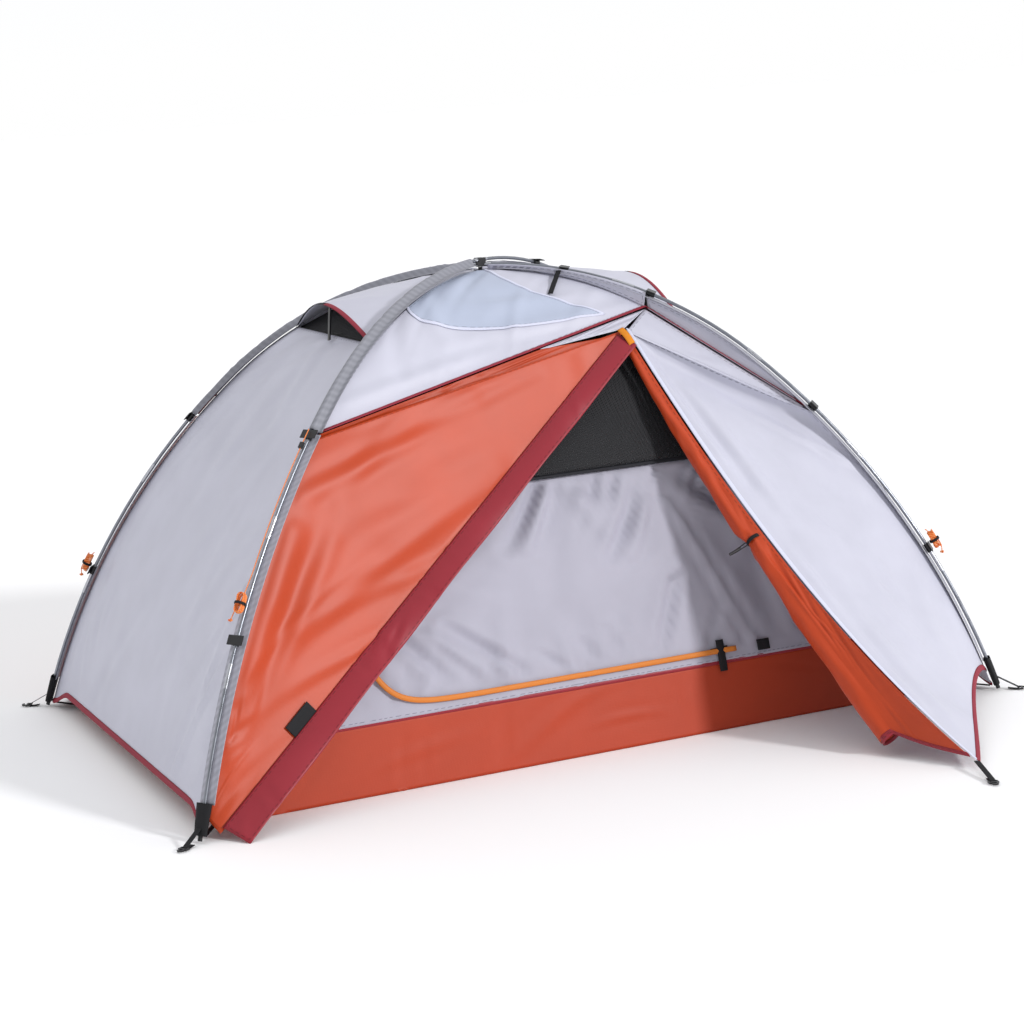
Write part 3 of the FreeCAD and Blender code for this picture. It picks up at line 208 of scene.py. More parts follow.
def hank_points(centre, along, across, out, turns, seed):
    """Control points of oblong turns that lie beside each other, each a little different."""
    rng = np.random.default_rng(seed)
    outline = []
    for k in range(6):
        bend = -math.pi / 2 + math.pi * k / 5
        outline.append((HANK_RUN + HANK_BEND * math.cos(bend), HANK_BEND * math.sin(bend)))
    for k in range(6):
        bend = math.pi / 2 + math.pi * k / 5
        outline.append((HANK_BEND * math.cos(bend) - HANK_RUN, HANK_BEND * math.sin(bend)))
    points = []
    for turn in range(turns):
        grow = 1 + rng.uniform(-0.05, 0.10)
        for k, (x, y) in enumerate(outline):
            level = (turn + k / len(outline) - turns / 2) * CORD * 1.12
            points.append(centre + along * x * grow + across * y * grow + out * level)
    return points


def cord_piece(name, points):
    """A cord on one smooth line through its control points."""
    curve = bpy.data.curves.new(name, "CURVE")
    curve.dimensions = "3D"
    spline = curve.splines.new("NURBS")
    spline.points.add(len(points) - 1)
    for point, place in zip(spline.points, points):
        point.co = (*place, 1.0)
    spline.order_u = 3
    spline.use_endpoint_u = True
    spline.resolution_u = 6
    curve.bevel_depth = CORD / 2
    curve.bevel_resolution = 3
    curve.use_fill_caps = True
    piece = bpy.data.objects.new(name, curve)
    bpy.context.scene.collection.objects.link(piece)
    return piece


GUY_ROUTE = [
    (-0.6628, -0.4369, 0.8781), (-0.7032, -0.4635, 0.8301), (-0.7422, -0.4892, 0.7806),
    (-0.7798, -0.5140, 0.7296), (-0.8160, -0.5378, 0.6771), (-0.8508, -0.5608, 0.6232),
    (-0.8841, -0.5827, 0.5680),
]
GUY_TAIL = [(-0.9300, -0.5975, 0.5060), (-0.9400, -0.5995, 0.4930), (-0.9478, -0.6007, 0.4795)]
HANKS = {
    "lf": np.array([-0.9229, -0.6083, 0.5186]),
    "rb": np.array([0.9229, 0.6083, 0.5186]),
    "lb": np.array([-0.9724, 0.6409, 0.4126]),
    "rf": np.array([0.9724, -0.6409, 0.4126]),
}


def hank_axes(leg):
    angle = angle_at(HANKS[leg][2], POLE[leg])
    return leg_run(leg, angle), sideways(leg), leg_normal(leg, angle)


def coil_for(leg, turns, seed):
    along, across, out = hank_axes(leg)
    return hank_points(HANKS[leg], along, across, out, turns, seed)


def short_guy(leg, seed):
    """A whole guy line wound up beside its clip: a lead-in, the turns and a short tail."""
    along, across, out = hank_axes(leg)
    centre = HANKS[leg]
    lead = [centre - along * 0.034 - out * 0.006, centre - along * 0.028 - across * 0.004]
    tail = [centre + along * 0.020 + across * 0.004 + out * 0.009, centre + along * 0.027 + out * 0.007 - UP * 0.004,
            centre + along * 0.030 + out * 0.006 - UP * 0.012]
    return lead + coil_for(leg, 6, seed) + tail


cords = {"lf": cord_piece("guy_line_front_left", GUY_ROUTE + [tuple(p) for p in coil_for("lf", 6, 3)] + GUY_TAIL)}
for number, leg in enumerate(("rf", "rb", "lb")):
    cords[leg] = cord_piece(f"guy_line_{leg}", short_guy(leg, 11 + number))


# --- materials -------------------------------------------------------------------------------


def linear(code):
    """sRGB hex to a linear colour."""
    parts = [int(code[i : i + 2], 16) / 255 for i in (1, 3, 5)]
    return tuple(p / 12.92 if p <= 0.04045 else ((p + 0.055) / 1.055) ** 2.4 for p in parts) + (1.0,)


def add_node(tree, kind, settings=None, inputs=None):
    """Adds a node with its settings, its values and its links."""
    node = tree.nodes.new(kind)
    for key, value in (settings or {}).items():
        setattr(node, key, value)
    for key, value in (inputs or {}).items():
        if isinstance(value, bpy.types.NodeSocket):
            tree.links.new(value, node.inputs[key])
        else:
            node.inputs[key].default_value = value
    return node


def blank_material(name):
    """A material with an output and a principled shader, and the shader's inputs."""
    material = bpy.data.materials.new(name)
    material.use_nodes = True
    tree = material.node_tree
    tree.nodes.clear()
    shader = add_node(tree, "ShaderNodeBsdfPrincipled")
    add_node(tree, "ShaderNodeOutputMaterial", inputs={"Surface": shader.outputs[0]})
    return material, tree, shader


def fill(tree, shader, values):
    for key, value in values.items():
        if isinstance(value, bpy.types.NodeSocket):
            tree.links.new(value, shader.inputs[key])
        else:
            shader.inputs[key].default_value = value


WAVE = 0.314


def cloth_material(name, colour, thread=0.003, roughness=0.5, sheen=0.05, patchy=0.05, stitched=True, ribbed=0.12):
    """Woven cloth: two crossed sets of threads, uneven dye, and stitches along the hems.

    Threads are 0.1 to 0.2 mm apart on the real cloth, too fine to show, so they are drawn coarser."""
    material, tree, shader = blank_material(name)
    place = add_node(tree, "ShaderNodeTexCoord")
    warp = add_node(tree, "ShaderNodeTexWave", {"bands_direction": "X"},
                    {"Vector": place.outputs["UV"], "Scale": WAVE / thread})
    weft = add_node(tree, "ShaderNodeTexWave", {"bands_direction": "Y"},
                    {"Vector": place.outputs["UV"], "Scale": WAVE / thread})
    weave = add_node(tree, "ShaderNodeMath", {"operation": "MULTIPLY"}, {0: warp.outputs["Fac"], 1: weft.outputs["Fac"]})
    clouds = add_node(tree, "ShaderNodeTexNoise", inputs={"Vector": place.outputs["Object"], "Scale": 7.0, "Detail": 4.0})
    tone = add_node(tree, "ShaderNodeMapRange", inputs={"Value": clouds.outputs["Fac"], "From Min": 0.3, "From Max": 0.7,
                                                       "To Min": 1 - patchy, "To Max": 1 + patchy * 0.4})
    base = add_node(tree, "ShaderNodeMix", {"data_type": "RGBA", "blend_type": "MULTIPLY"},
                    {"Factor": 1.0, 6: linear(colour), 7: tone.outputs[0]})
    shown = base.outputs[2]
    height = weave.outputs[0]
    if stitched:
        edge = add_node(tree, "ShaderNodeAttribute", {"attribute_name": "edge"})
        row = add_node(tree, "ShaderNodeMath", {"operation": "COMPARE"}, {0: edge.outputs["Fac"], 1: 0.007, 2: 0.0010})
        beat = add_node(tree, "ShaderNodeTexWave", {"bands_direction": "DIAGONAL"},
                        {"Vector": place.outputs["UV"], "Scale": WAVE / 0.009})
        on = add_node(tree, "ShaderNodeMath", {"operation": "GREATER_THAN"}, {0: beat.outputs["Fac"], 1: 0.35})
        stitch = add_node(tree, "ShaderNodeMath", {"operation": "MULTIPLY"}, {0: row.outputs[0], 1: on.outputs[0]})
        shown = add_node(tree, "ShaderNodeMix", {"data_type": "RGBA", "blend_type": "MULTIPLY"},
                         {"Factor": stitch.outputs[0], 6: shown, 7: (0.55, 0.55, 0.58, 1.0)}).outputs[2]
        hem = add_node(tree, "ShaderNodeMath", {"operation": "LESS_THAN"}, {0: edge.outputs["Fac"], 1: 0.011})
        height = add_node(tree, "ShaderNodeMath", {"operation": "ADD"}, {0: weave.outputs[0], 1: hem.outputs[0]}).outputs[0]
    bump = add_node(tree, "ShaderNodeBump", inputs={"Height": height, "Strength": ribbed, "Distance": 0.0006})
    fill(tree, shader, {"Base Color": shown, "Normal": bump.outputs[0], "Roughness": roughness,
                        "Sheen Weight": sheen, "Sheen Roughness": 0.4, "Specular IOR Level": 0.35})
    return material


def mesh_material(name, colour, hole=0.006, open_share=0.30):
    """Knitted insect mesh: dark yarn with small holes. Real holes are under 1 mm and drawn larger."""
    material, tree, shader = blank_material(name)
    place = add_node(tree, "ShaderNodeTexCoord")
    first = add_node(tree, "ShaderNodeTexWave", {"bands_direction": "X"},
                     {"Vector": place.outputs["UV"], "Scale": WAVE / hole})
    second = add_node(tree, "ShaderNodeTexWave", {"bands_direction": "Y"},
                      {"Vector": place.outputs["UV"], "Scale": WAVE / hole})
    web = add_node(tree, "ShaderNodeMath", {"operation": "MULTIPLY"}, {0: first.outputs["Fac"], 1: second.outputs["Fac"]})
    alpha = add_node(tree, "ShaderNodeMapRange", inputs={"Value": web.outputs[0], "From Min": 0.35, "From Max": 0.75,
                                                        "To Min": 1.0, "To Max": 1 - 2 * open_share})
    fill(tree, shader, {"Base Color": linear(colour), "Alpha": alpha.outputs[0], "Roughness": 0.8})
    return material


def webbing_material(name, colour, rib=0.003, roughness=0.75):
    """Woven nylon tape: ribs across it."""
    material, tree, shader = blank_material(name)
    place = add_node(tree, "ShaderNodeTexCoord")
    ribs = add_node(tree, "ShaderNodeTexWave", {"bands_direction": "Y"},
                    {"Vector": place.outputs["UV"], "Scale": WAVE / rib, "Distortion": 0.4})
    grain = add_node(tree, "ShaderNodeTexNoise", inputs={"Vector": place.outputs["Object"], "Scale": 600.0})
    tone = add_node(tree, "ShaderNodeMapRange", inputs={"Value": ribs.outputs["Fac"], "To Min": 0.82, "To Max": 1.06})
    base = add_node(tree, "ShaderNodeMix", {"data_type": "RGBA", "blend_type": "MULTIPLY"},
                    {"Factor": 1.0, 6: linear(colour), 7: tone.outputs[0]})
    height = add_node(tree, "ShaderNodeMath", {"operation": "ADD"}, {0: ribs.outputs["Fac"], 1: grain.outputs["Fac"]})
    bump = add_node(tree, "ShaderNodeBump", inputs={"Height": height.outputs[0], "Strength": 0.4, "Distance": 0.0005})
    fill(tree, shader, {"Base Color": base.outputs[2], "Normal": bump.outputs[0], "Roughness": roughness,
                        "Specular IOR Level": 0.3})
    return material


def sleeve_material(name, colour):
    """Sleeve ripstop: crossed diagonal threads that catch the light as a fine hatch."""
    material, tree, shader = blank_material(name)
    place = add_node(tree, "ShaderNodeTexCoord")
    hatch = add_node(tree, "ShaderNodeTexWave", {"bands_direction": "DIAGONAL"},
                     {"Vector": place.outputs["UV"], "Scale": WAVE / 0.010, "Distortion": 0.6, "Detail": 1.0})
    tone = add_node(tree, "ShaderNodeMapRange", inputs={"Value": hatch.outputs["Fac"], "To Min": 0.90, "To Max": 1.08})
    base = add_node(tree, "ShaderNodeMix", {"data_type": "RGBA", "blend_type": "MULTIPLY"},
                    {"Factor": 1.0, 6: linear(colour), 7: tone.outputs[0]})
    bump = add_node(tree, "ShaderNodeBump", inputs={"Height": hatch.outputs["Fac"], "Strength": 0.15, "Distance": 0.0006})
    fill(tree, shader, {"Base Color": base.outputs[2], "Normal": bump.outputs[0], "Roughness": 0.55,
                        "Sheen Weight": 0.1, "Specular IOR Level": 0.4})
    return material


def hard_material(name, colour, roughness, metallic=0.0, grain=900.0, uneven=0.10, bumped=0.08, coat=0.0):
    """Moulded plastic or drawn metal: a fine grain and slightly uneven gloss."""
    material, tree, shader = blank_material(name)
    place = add_node(tree, "ShaderNodeTexCoord")
    grit = add_node(tree, "ShaderNodeTexNoise", inputs={"Vector": place.outputs["Object"], "Scale": grain, "Detail": 3.0})
    smear = add_node(tree, "ShaderNodeTexNoise", inputs={"Vector": place.outputs["Object"], "Scale": 35.0, "Detail": 3.0})
    gloss = add_node(tree, "ShaderNodeMapRange", inputs={"Value": smear.outputs["Fac"], "From Min": 0.3, "From Max": 0.7,
                                                        "To Min": roughness - uneven, "To Max": roughness + uneven})
    tone = add_node(tree, "ShaderNodeMapRange", inputs={"Value": smear.outputs["Fac"], "To Min": 0.90, "To Max": 1.08})
    base = add_node(tree, "ShaderNodeMix", {"data_type": "RGBA", "blend_type": "MULTIPLY"},
                    {"Factor": 1.0, 6: linear(colour), 7: tone.outputs[0]})
    bump = add_node(tree, "ShaderNodeBump", inputs={"Height": grit.outputs["Fac"], "Strength": bumped, "Distance": 0.0003})
    fill(tree, shader, {"Base Color": base.outputs[2], "Normal": bump.outputs[0], "Roughness": gloss.outputs[0],
                        "Metallic": metallic, "Coat Weight": coat})
    return material


def cord_material(name, colour, fleck):
    """Braided cord: two slanted sets of strands, one with a lighter fleck."""
    material, tree, shader = blank_material(name)
    place = add_node(tree, "ShaderNodeTexCoord")
    braid = add_node(tree, "ShaderNodeTexWave", {"bands_direction": "DIAGONAL"},
                     {"Vector": place.outputs["Object"], "Scale": WAVE / 0.0035, "Distortion": 1.0})
    base = add_node(tree, "ShaderNodeMix", {"data_type": "RGBA"},
                    {"Factor": braid.outputs["Fac"], 6: linear(colour), 7: linear(fleck)})
    bump = add_node(tree, "ShaderNodeBump", inputs={"Height": braid.outputs["Fac"], "Strength": 0.5, "Distance": 0.0004})
    fill(tree, shader, {"Base Color": base.outputs[2], "Normal": bump.outputs[0], "Roughness": 0.7,
                        "Sheen Weight": 0.2, "Specular IOR Level": 0.3})
    return material


MATERIALS = {
    # Polyester taffeta, polyurethane coated: pale lavender, satin, faint long shading from the dye.
    "fly": cloth_material("polyester_taffeta_lavender", "#C3C3D1", roughness=0.48),
    # The same cloth in a darker, bluer tone on the crown panel.
    "crown": cloth_material("polyester_taffeta_ice_blue", "#AEB6CA", roughness=0.45),
    # Piece-dyed polyester taffeta, burnt orange, satin on its coated side.
    "orange": cloth_material("polyester_taffeta_burnt_orange", "#B94019", roughness=0.42, patchy=0.07),
    "crimson": cloth_material("polyester_taffeta_crimson", "#922431", roughness=0.42, patchy=0.07),
    # Heavier coated floor cloth: duller and a little redder than the fly's orange.
    "tub": cloth_material("oxford_polyester_orange", "#AE3B1C", thread=0.004, roughness=0.55, ribbed=0.2),
    # Uncoated breathable taffeta of the inner: soft, matt.
    "inner": cloth_material("breathable_taffeta_grey", "#ACAAB8", roughness=0.65, sheen=0.1),
    "mesh": mesh_material("knitted_polyester_mesh_black", "#18181C"),
    "sleeve": sleeve_material("ripstop_polyester_grey", "#85868F"),
    "band": sleeve_material("ripstop_polyester_light_grey", "#A3A3AE"),
    # Folded grosgrain binding, dark raspberry.
    "binding": webbing_material("grosgrain_binding_raspberry", "#93303F", rib=0.004),
    "webbing": webbing_material("woven_nylon_webbing_black", "#1B1B1E"),
    "orange_webbing": webbing_material("woven_nylon_tape_amber", "#E08A22"),
    "seam": webbing_material("seam_tape_blue_white", "#D5D7EA", rib=0.004, roughness=0.5),
    "mesh_tape": webbing_material("grosgrain_tape_charcoal", "#2A2A30", rib=0.004),
    "zip_orange": webbing_material("coil_zip_orange", "#D98033", rib=0.003, roughness=0.5),
    "zip_dark": webbing_material("coil_zip_burgundy", "#6E2530", rib=0.003, roughness=0.5),
    # Injection moulded acetal: near black, low sheen, fine spark-eroded grain.
    "plastic": hard_material("moulded_acetal_black", "#17171A", 0.42),
    # Drawn and anodised aluminium tube: satin mid grey with a soft highlight.
    "pole": hard_material("anodised_aluminium_grey", "#8D9098", 0.34, metallic=1.0, bumped=0.03),
    "ferrule": hard_material("anodised_aluminium_bright", "#B8BAC0", 0.28, metallic=1.0, bumped=0.03),
    "rubber": cord_material("braided_elastic_white", "#D9D9DD", "#A9A9B0"),
    "guy": cord_material("braided_polypropylene_orange", "#E4621A", "#F0A05A"),
    "pale_elastic": cord_material("braided_elastic_cream", "#E3C79A", "#F0E2C8"),
}

# --- sheets ----------------------------------------------------------------------------------

HEART = np.array([0.0, 0.0, 0.3])


def normals_of(grid, heart, closed=False):
    """Outward unit normals of a grid of points."""
    if closed:
        ring = np.concatenate([grid[:, -2:-1], grid, grid[:, 1:2]], axis=1)
        across = (ring[:, 2:] - ring[:, :-2])
    else:
        across = np.gradient(grid, axis=1)
    along = np.gradient(grid, axis=0)
    out = np.cross(along, across)
    out /= np.maximum(np.linalg.norm(out, axis=2, keepdims=True), 1e-12)
    if heart is not None and np.sum(out * (grid - heart)) < 0:
        out = -out
    return out


def spread(grid):
    """Distance along each row and down each column, in metres."""
    s = np.zeros(grid.shape[:2])
    t = np.zeros(grid.shape[:2])
    s[:, 1:] = np.cumsum(np.linalg.norm(np.diff(grid, axis=1), axis=2), axis=1)
    t[1:, :] = np.cumsum(np.linalg.norm(np.diff(grid, axis=0), axis=2), axis=0)
    return s, t


def ridge_shape(q):
    """A raised line with a shallow valley on each side."""
    return (1 - q) * np.exp(-q / 2)


def creases(grid, seed, count, heading, fan, length, width, height, area=(0, 1, 0, 1)):
    """Seeded soft creases within an area of the cloth, given as shares across and down."""
    rng = np.random.default_rng(seed)
    s, t = spread(grid)
    total = np.zeros_like(s)
    for _ in range(count):
        i = int(rng.uniform(area[2], area[3]) * (grid.shape[0] - 1))
        j = int(rng.uniform(area[0], area[1]) * (grid.shape[1] - 1))
        turn = heading + rng.normal(0, fan)
        x, y = s - s[i, j], t - t[i, j]
        along = x * math.cos(turn) + y * math.sin(turn)
        across = y * math.cos(turn) - x * math.sin(turn)
        q = (across / (width * rng.uniform(0.6, 1.5))) ** 2
        total += height * rng.uniform(-1, 1) * ridge_shape(q) * np.exp(-((along / (length * rng.uniform(0.5, 1.4))) ** 2))
    return total


def fold(grid, start, end, width, height):
    """One crease between two places on the cloth, given as shares across and down."""
    rows, columns = grid.shape[:2]
    ends = [grid[int(v * (rows - 1)), int(u * (columns - 1))] for u, v in (start, end)]
    run = ends[1] - ends[0]
    length = np.linalg.norm(run)
    share = np.clip(((grid - ends[0]) @ run) / length**2, 0, 1)
    near = np.linalg.norm(grid - ends[0] - share[..., None] * run, axis=2)
    taper = np.sin(math.pi * np.clip(0.08 + 0.84 * share, 0, 1)) ** 0.7
    return height * ridge_shape((near / width) ** 2) * taper


def edge_distance(grid):
    """Distance to the nearest edge of a sheet, which places its hem and stitches."""
    s, t = spread(grid)
    return np.minimum.reduce([s, s[:, -1:] - s, t, t[-1:, :] - t])


def pin(grid, depth=0.05, edges="all"):
    """Share by which creases show: none at a held edge and all further in than the depth."""
    s, t = spread(grid)
    gaps = {"first": s, "last": s[:, -1:] - s, "top": t, "low": t[-1:, :] - t}
    near = np.minimum.reduce([gaps[k] for k in (gaps if edges == "all" else edges)])
    share = np.clip(near / depth, 0, 1)
    return share * share * (3 - 2 * share)


def piece_of(name, grids, thick, material, smooth=True, heart=HEART, closed=False, edges=None):
    """One mesh from grids of points, thickened inwards, with lengths on the cloth as its map."""
    places, faces, maps, hems = [], [], [], []
    base = 0
    for number, grid in enumerate(grids):
        rows, columns = grid.shape[:2]
        out = normals_of(grid, heart, closed)
        along, across = np.gradient(grid, axis=0), np.gradient(grid, axis=1)
        turned = np.sum(np.cross(along, across) * out) > 0
        s, t = spread(grid)
        hem = edge_distance(grid) if edges is None else edges[number]
        places.append(grid.reshape(-1, 3))
        maps.append(np.stack([s, t], axis=2).reshape(-1, 2))
        hems.append(hem.reshape(-1))
        index = base + np.arange(rows * columns).reshape(rows, columns)
        quads = np.stack([index[:-1, :-1], index[1:, :-1], index[1:, 1:], index[:-1, 1:]], axis=2).reshape(-1, 4)
        faces.append(quads if turned else quads[:, ::-1])
        base += rows * columns
    places, faces = np.concatenate(places), np.concatenate(faces)
    maps, hems = np.concatenate(maps), np.concatenate(hems)
    mesh = bpy.data.meshes.new(name)
    mesh.from_pydata(places.tolist(), [], faces.tolist())
    layer = mesh.uv_layers.new(name="lengths")
    layer.data.foreach_set("uv", maps[faces.reshape(-1)].reshape(-1).astype(np.float32))
    attribute = mesh.attributes.new("edge", "FLOAT", "POINT")
    attribute.data.foreach_set("value", hems.astype(np.float32))
    mesh.materials.append(MATERIALS[material])
    piece = bpy.data.objects.new(name, mesh)
    bpy.context.scene.collection.objects.link(piece)
    if closed:
        weld(piece)
    if smooth:
        mesh.shade_smooth()
    if thick:
        add_thickness(piece, thick)
    return piece


def only(piece):
    bpy.ops.object.select_all(action="DESELECT")
    piece.select_set(True)
    bpy.context.view_layer.objects.active = piece


def weld(piece):
    """Joins the two ends of a grid that meet, so that a tube is closed."""
    only(piece)
    bpy.ops.object.mode_set(mode="EDIT")
    bpy.ops.mesh.select_all(action="SELECT")
    bpy.ops.mesh.remove_doubles(threshold=0.00005)
    bpy.ops.object.mode_set(mode="OBJECT")


def add_thickness(piece, thick):
    only(piece)
    wall = piece.modifiers.new("wall", "SOLIDIFY")
    wall.thickness = thick
    wall.offset = -1
    bpy.ops.object.modifier_apply(modifier=wall.name)
    piece.data.shade_smooth()


def flat_size(grids):
    """Width, length and area that the cloth was cut to, from its lengths before creasing."""
    width = max(spread(g)[0][:, -1].max() for g in grids)
    length = sum(spread(g)[1][-1, :].max() for g in grids[:1])
    area = 0
    for g in grids:
        a = np.cross(g[1:, 1:] - g[:-1, :-1], g[1:, :-1] - g[:-1, 1:])
        area += np.linalg.norm(a, axis=2).sum() / 2
    return float(width), float(length), float(area)


def cloth(name, grids, material, relief=None, replaces=(), thick=0.0008,
          heart=HEART, closed=False, body="tent"):
    """A sheet of cloth: its grids are creased along their normals and thickened."""
    grids = [np.asarray(g, float) for g in (grids if isinstance(grids, list) else [grids])]
    width, length, area = flat_size(grids)
    raised = grids
    if relief is not None:
        raised = [g + normals_of(g, heart, closed) * relief(g)[..., None] for g in grids]
    edges = [edge_distance(g) if not closed else np.full(g.shape[:2], 1.0) for g in grids]
    piece = piece_of(name, raised, thick, material, heart=heart, closed=closed, edges=edges)
    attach(piece, body)
    if replaces:
        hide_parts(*replaces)
    share = min(0.99, max(0.32, area / (width * length)))
    length = area / (width * share)
    return piece


def strip_grid(line, side, up, width, crown=0.0012, columns=7, lift=0.0):
    """A tape along a line: crowned in the middle, as wide as given, lying along side."""
    line = np.asarray(line, float)
    side = np.broadcast_to(np.asarray(side, float), line.shape)
    up = np.broadcast_to(np.asarray(up, float), line.shape)
    across = steps(columns, -0.5, 0.5)
    height = lift + crown * (1 - (2 * across) ** 2)
    return line[:, None, :] + side[:, None, :] * (across * width)[None, :, None] + up[:, None, :] * height[None, :, None]


def tapes(name, grids, material, thick=0.0008, replaces=(), body="tent", heart=HEART):
    """Tapes, seams and straps that belong together, as one piece."""
    piece = piece_of(name, [np.asarray(g, float) for g in grids], thick, material, heart=heart)
    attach(piece, body)
    if replaces:
        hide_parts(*replaces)
    return piece


def run_of(line):
    return unit(np.gradient(np.asarray(line, float), axis=0))


# --- fly: ends and vents -----------------------------------------------------------------------


def hem_share(across):
    reach = np.clip(np.minimum(across, 1 - across) / (0.130 / SPAN[1]), 0, 1)
    return reach * reach * (3 - 2 * reach)


def end_grid(rows=110, columns=90):
    start = angle_at(1.058)
    across, down = steps(columns), steps(rows)
    low = angle_at(0.022 + 0.040 * hem_share(across))
    angle = start + (low[None, :] - start) * down[:, None]
    first, second = on_leg("lb", angle, lateral=GAP), on_leg("lf", angle, lateral=-GAP)
    grid = mix(first, second, np.broadcast_to(across, angle.shape))
    bow = np.sin(math.pi * across)[None, :] * np.sin(math.pi * np.clip(down * 1.15, 0, 1))[:, None]
    return grid + np.array([0.010, 0, 0]) * bow[..., None]


def end_relief(seed):
    def relief(grid):
        soft = creases(grid, seed, 26, math.pi / 2, 0.5, 0.30, 0.035, 0.0035)
        soft += creases(grid, seed + 1, 26, math.pi / 2 + 0.5, 0.3, 0.10, 0.014, 0.0030, (0.78, 0.98, 0.55, 0.98))
        soft += creases(grid, seed + 2, 14, math.pi / 2 - 0.5, 0.3, 0.10, 0.014, 0.0025, (0.02, 0.2, 0.6, 0.98))
        soft += fold(grid, (0.97, 0.72), (0.80, 0.98), 0.016, 0.006)
        soft += fold(grid, (0.96, 0.60), (0.86, 0.86), 0.014, 0.004)
        soft += fold(grid, (0.5, 0.02), (0.62, 0.35), 0.03, 0.004)
        return soft * pin(grid, 0.03)

    return relief


def vent_point(across, down):
    stop = angle_at(1.058) - GAP / CROWN
    start = math.radians(1.2)
    angle = start + (stop - start) * down
    level = mix(on_leg("lb", angle, lateral=GAP), on_leg("lf", angle, lateral=-GAP), across)
    push = unit([-0.2, 0, 1]) * 0.082
    return level + push * (down * down * np.sin(math.pi * across))[..., None]


def vent_grid(rows=60, columns=60):
    down, across = np.meshgrid(steps(rows), steps(columns), indexing="ij")
    return vent_point(across, down)


def vent_mesh_grid(rows=20, columns=50):
    stop = angle_at(1.058) - GAP / CROWN
    across = steps(columns)
    low = mix(on_leg("lb", stop, lateral=GAP), on_leg("lf", stop, lateral=-GAP), across) - UP * 2 * GAP
    high = vent_point(across, np.full(columns, 0.75)) - UP * 2 * GAP
    share = steps(rows)[:, None, None]
    return low[None] * (1 - share) + high[None] * share


def hem_line(grid, row=-1):
    return grid[row]


for side, flip, seed in (("left", lambda g: g, 40), ("right", left_right, 60)):
    end = end_grid()
    panel = flip(end)
    hem = panel[-1]
    vent = flip(vent_grid())
    lip = vent[-1]
    inward = unit(np.gradient(panel, axis=0)[-1])
    hem_tape = strip_grid(hem, inward, unit(hem - HEART), 0.016, 0.003, lift=0.0010)
    lip_side = unit(np.gradient(vent, axis=0)[-1])
    half = len(lip) // 2
    lips = [strip_grid(lip[:half + 1], lip_side[:half + 1], UP, 0.014, 0.002, lift=0.0008),
            strip_grid(lip[half:], lip_side[half:], UP, 0.014, 0.002, lift=0.0008)]
    hem_piece = tapes(f"hem_binding_{side}", [hem_tape], "binding")
    lip_piece = tapes(f"vent_trim_{side}_black", lips[:1], "mesh_tape")
    lip_other = tapes(f"vent_trim_{side}_red", lips[1:], "binding")
    cloth(f"fly_panel_{side}", panel, "fly", end_relief(seed), (f"fly_end_{side}",))
    cloth(f"vent_cover_{side}", vent, "fly",
          lambda g: creases(g, 71, 16, 0.9, 0.6, 0.12, 0.02, 0.0025) * pin(g, 0.03), (f"vent_hood_{side}",))
cloth("vent_net_left", vent_mesh_grid(), "mesh", thick=0.0005,
      replaces=("vent_meshes",))
cloth("vent_net_right", left_right(vent_mesh_grid()), "mesh",
      thick=0.0005, replaces=("vent_meshes",))

# --- fly: roof, crown panel, hood ----------------------------------------------------------------


def roof_point(across, down):
    start = math.radians(1.2)
    left = on_leg("lf", start + (angle_at(0.873) - start) * down, lateral=GAP)
    under = on_leg("rf", start + (angle_at(1.097) - start) * down, lateral=-GAP)
    right = under - sideways("rf") * GAP - UP * (0.026 * down * down)[..., None]
    return mix(left, right, across)


def roof_grid(rows=110, columns=90):
    down, across = np.meshgrid(steps(rows), steps(columns), indexing="ij")
    return roof_point(across, down)


def roof_relief(seed):
    def relief(grid):
        soft = creases(grid, seed, 24, 0.5, 0.5, 0.25, 0.03, 0.0030)
        soft += fold(grid, (0.97, 0.97), (0.35, 0.80), 0.022, 0.005)
        soft += fold(grid, (0.05, 0.95), (0.55, 0.93), 0.018, 0.004)
        soft += fold(grid, (0.92, 0.75), (0.55, 0.62), 0.020, 0.003)
        return soft * pin(grid, 0.04)

    return relief


def crown_places(a, b):
    top_across, top_down = 0.60 * a, 0.05 + 0 * a
    low_across, low_down = 0.88 * a, 0.43 + 0.525 * a + 0.055 * 4 * a * (1 - a)
    return top_across * (1 - b) + low_across * b, top_down * (1 - b) + low_down * b


def crown_grid(rows=90, columns=90):
    """Crown panel laid on the creased roof: each point lies a layer above the roof under it."""
    b, a = np.meshgrid(steps(rows), steps(columns, 0.004, 1), indexing="ij")
    across, down = crown_places(a, b)
    under = roof_grid()
    under = under + normals_of(under, TOP_HEART) * roof_relief(100)(under)[..., None]
    row, column = down * (under.shape[0] - 1), across * (under.shape[1] - 1)
    i = np.clip(row.astype(int), 0, under.shape[0] - 2)
    j = np.clip(column.astype(int), 0, under.shape[1] - 2)
    y, x = (row - i)[..., None], (column - j)[..., None]
    top = under[i, j] * (1 - x) + under[i, j + 1] * x
    low = under[i + 1, j] * (1 - x) + under[i + 1, j + 1] * x
    return top * (1 - y) + low * y + UP * 0.0024


def wing_grid(rows=60, columns=24):
    start = angle_at(1.097) + 2 * GAP / CROWN
    end = angle_at(0.786) - 8 * GAP / CROWN
    top = leg_line("rf", start, end, -1)
    return rules(top, lambda share: mix(HOOD_TIP, RIGHT_SHOULDER, 0.02 + 0.92 * share), rows, columns)


def between(first, second, third, fourth, rows=40, columns=50):
    """Cloth whose near edge runs from first to second and whose far edge runs from third to fourth."""
    return rules(lambda share: mix(first, second, share), lambda share: mix(third, fourth, share), rows, columns)


JOIN = mix(HOOD_TIP, LEFT_SHOULDER, 0.34) - UP * 0.004
TUCK = np.array([0.0, 0.004, -0.014])


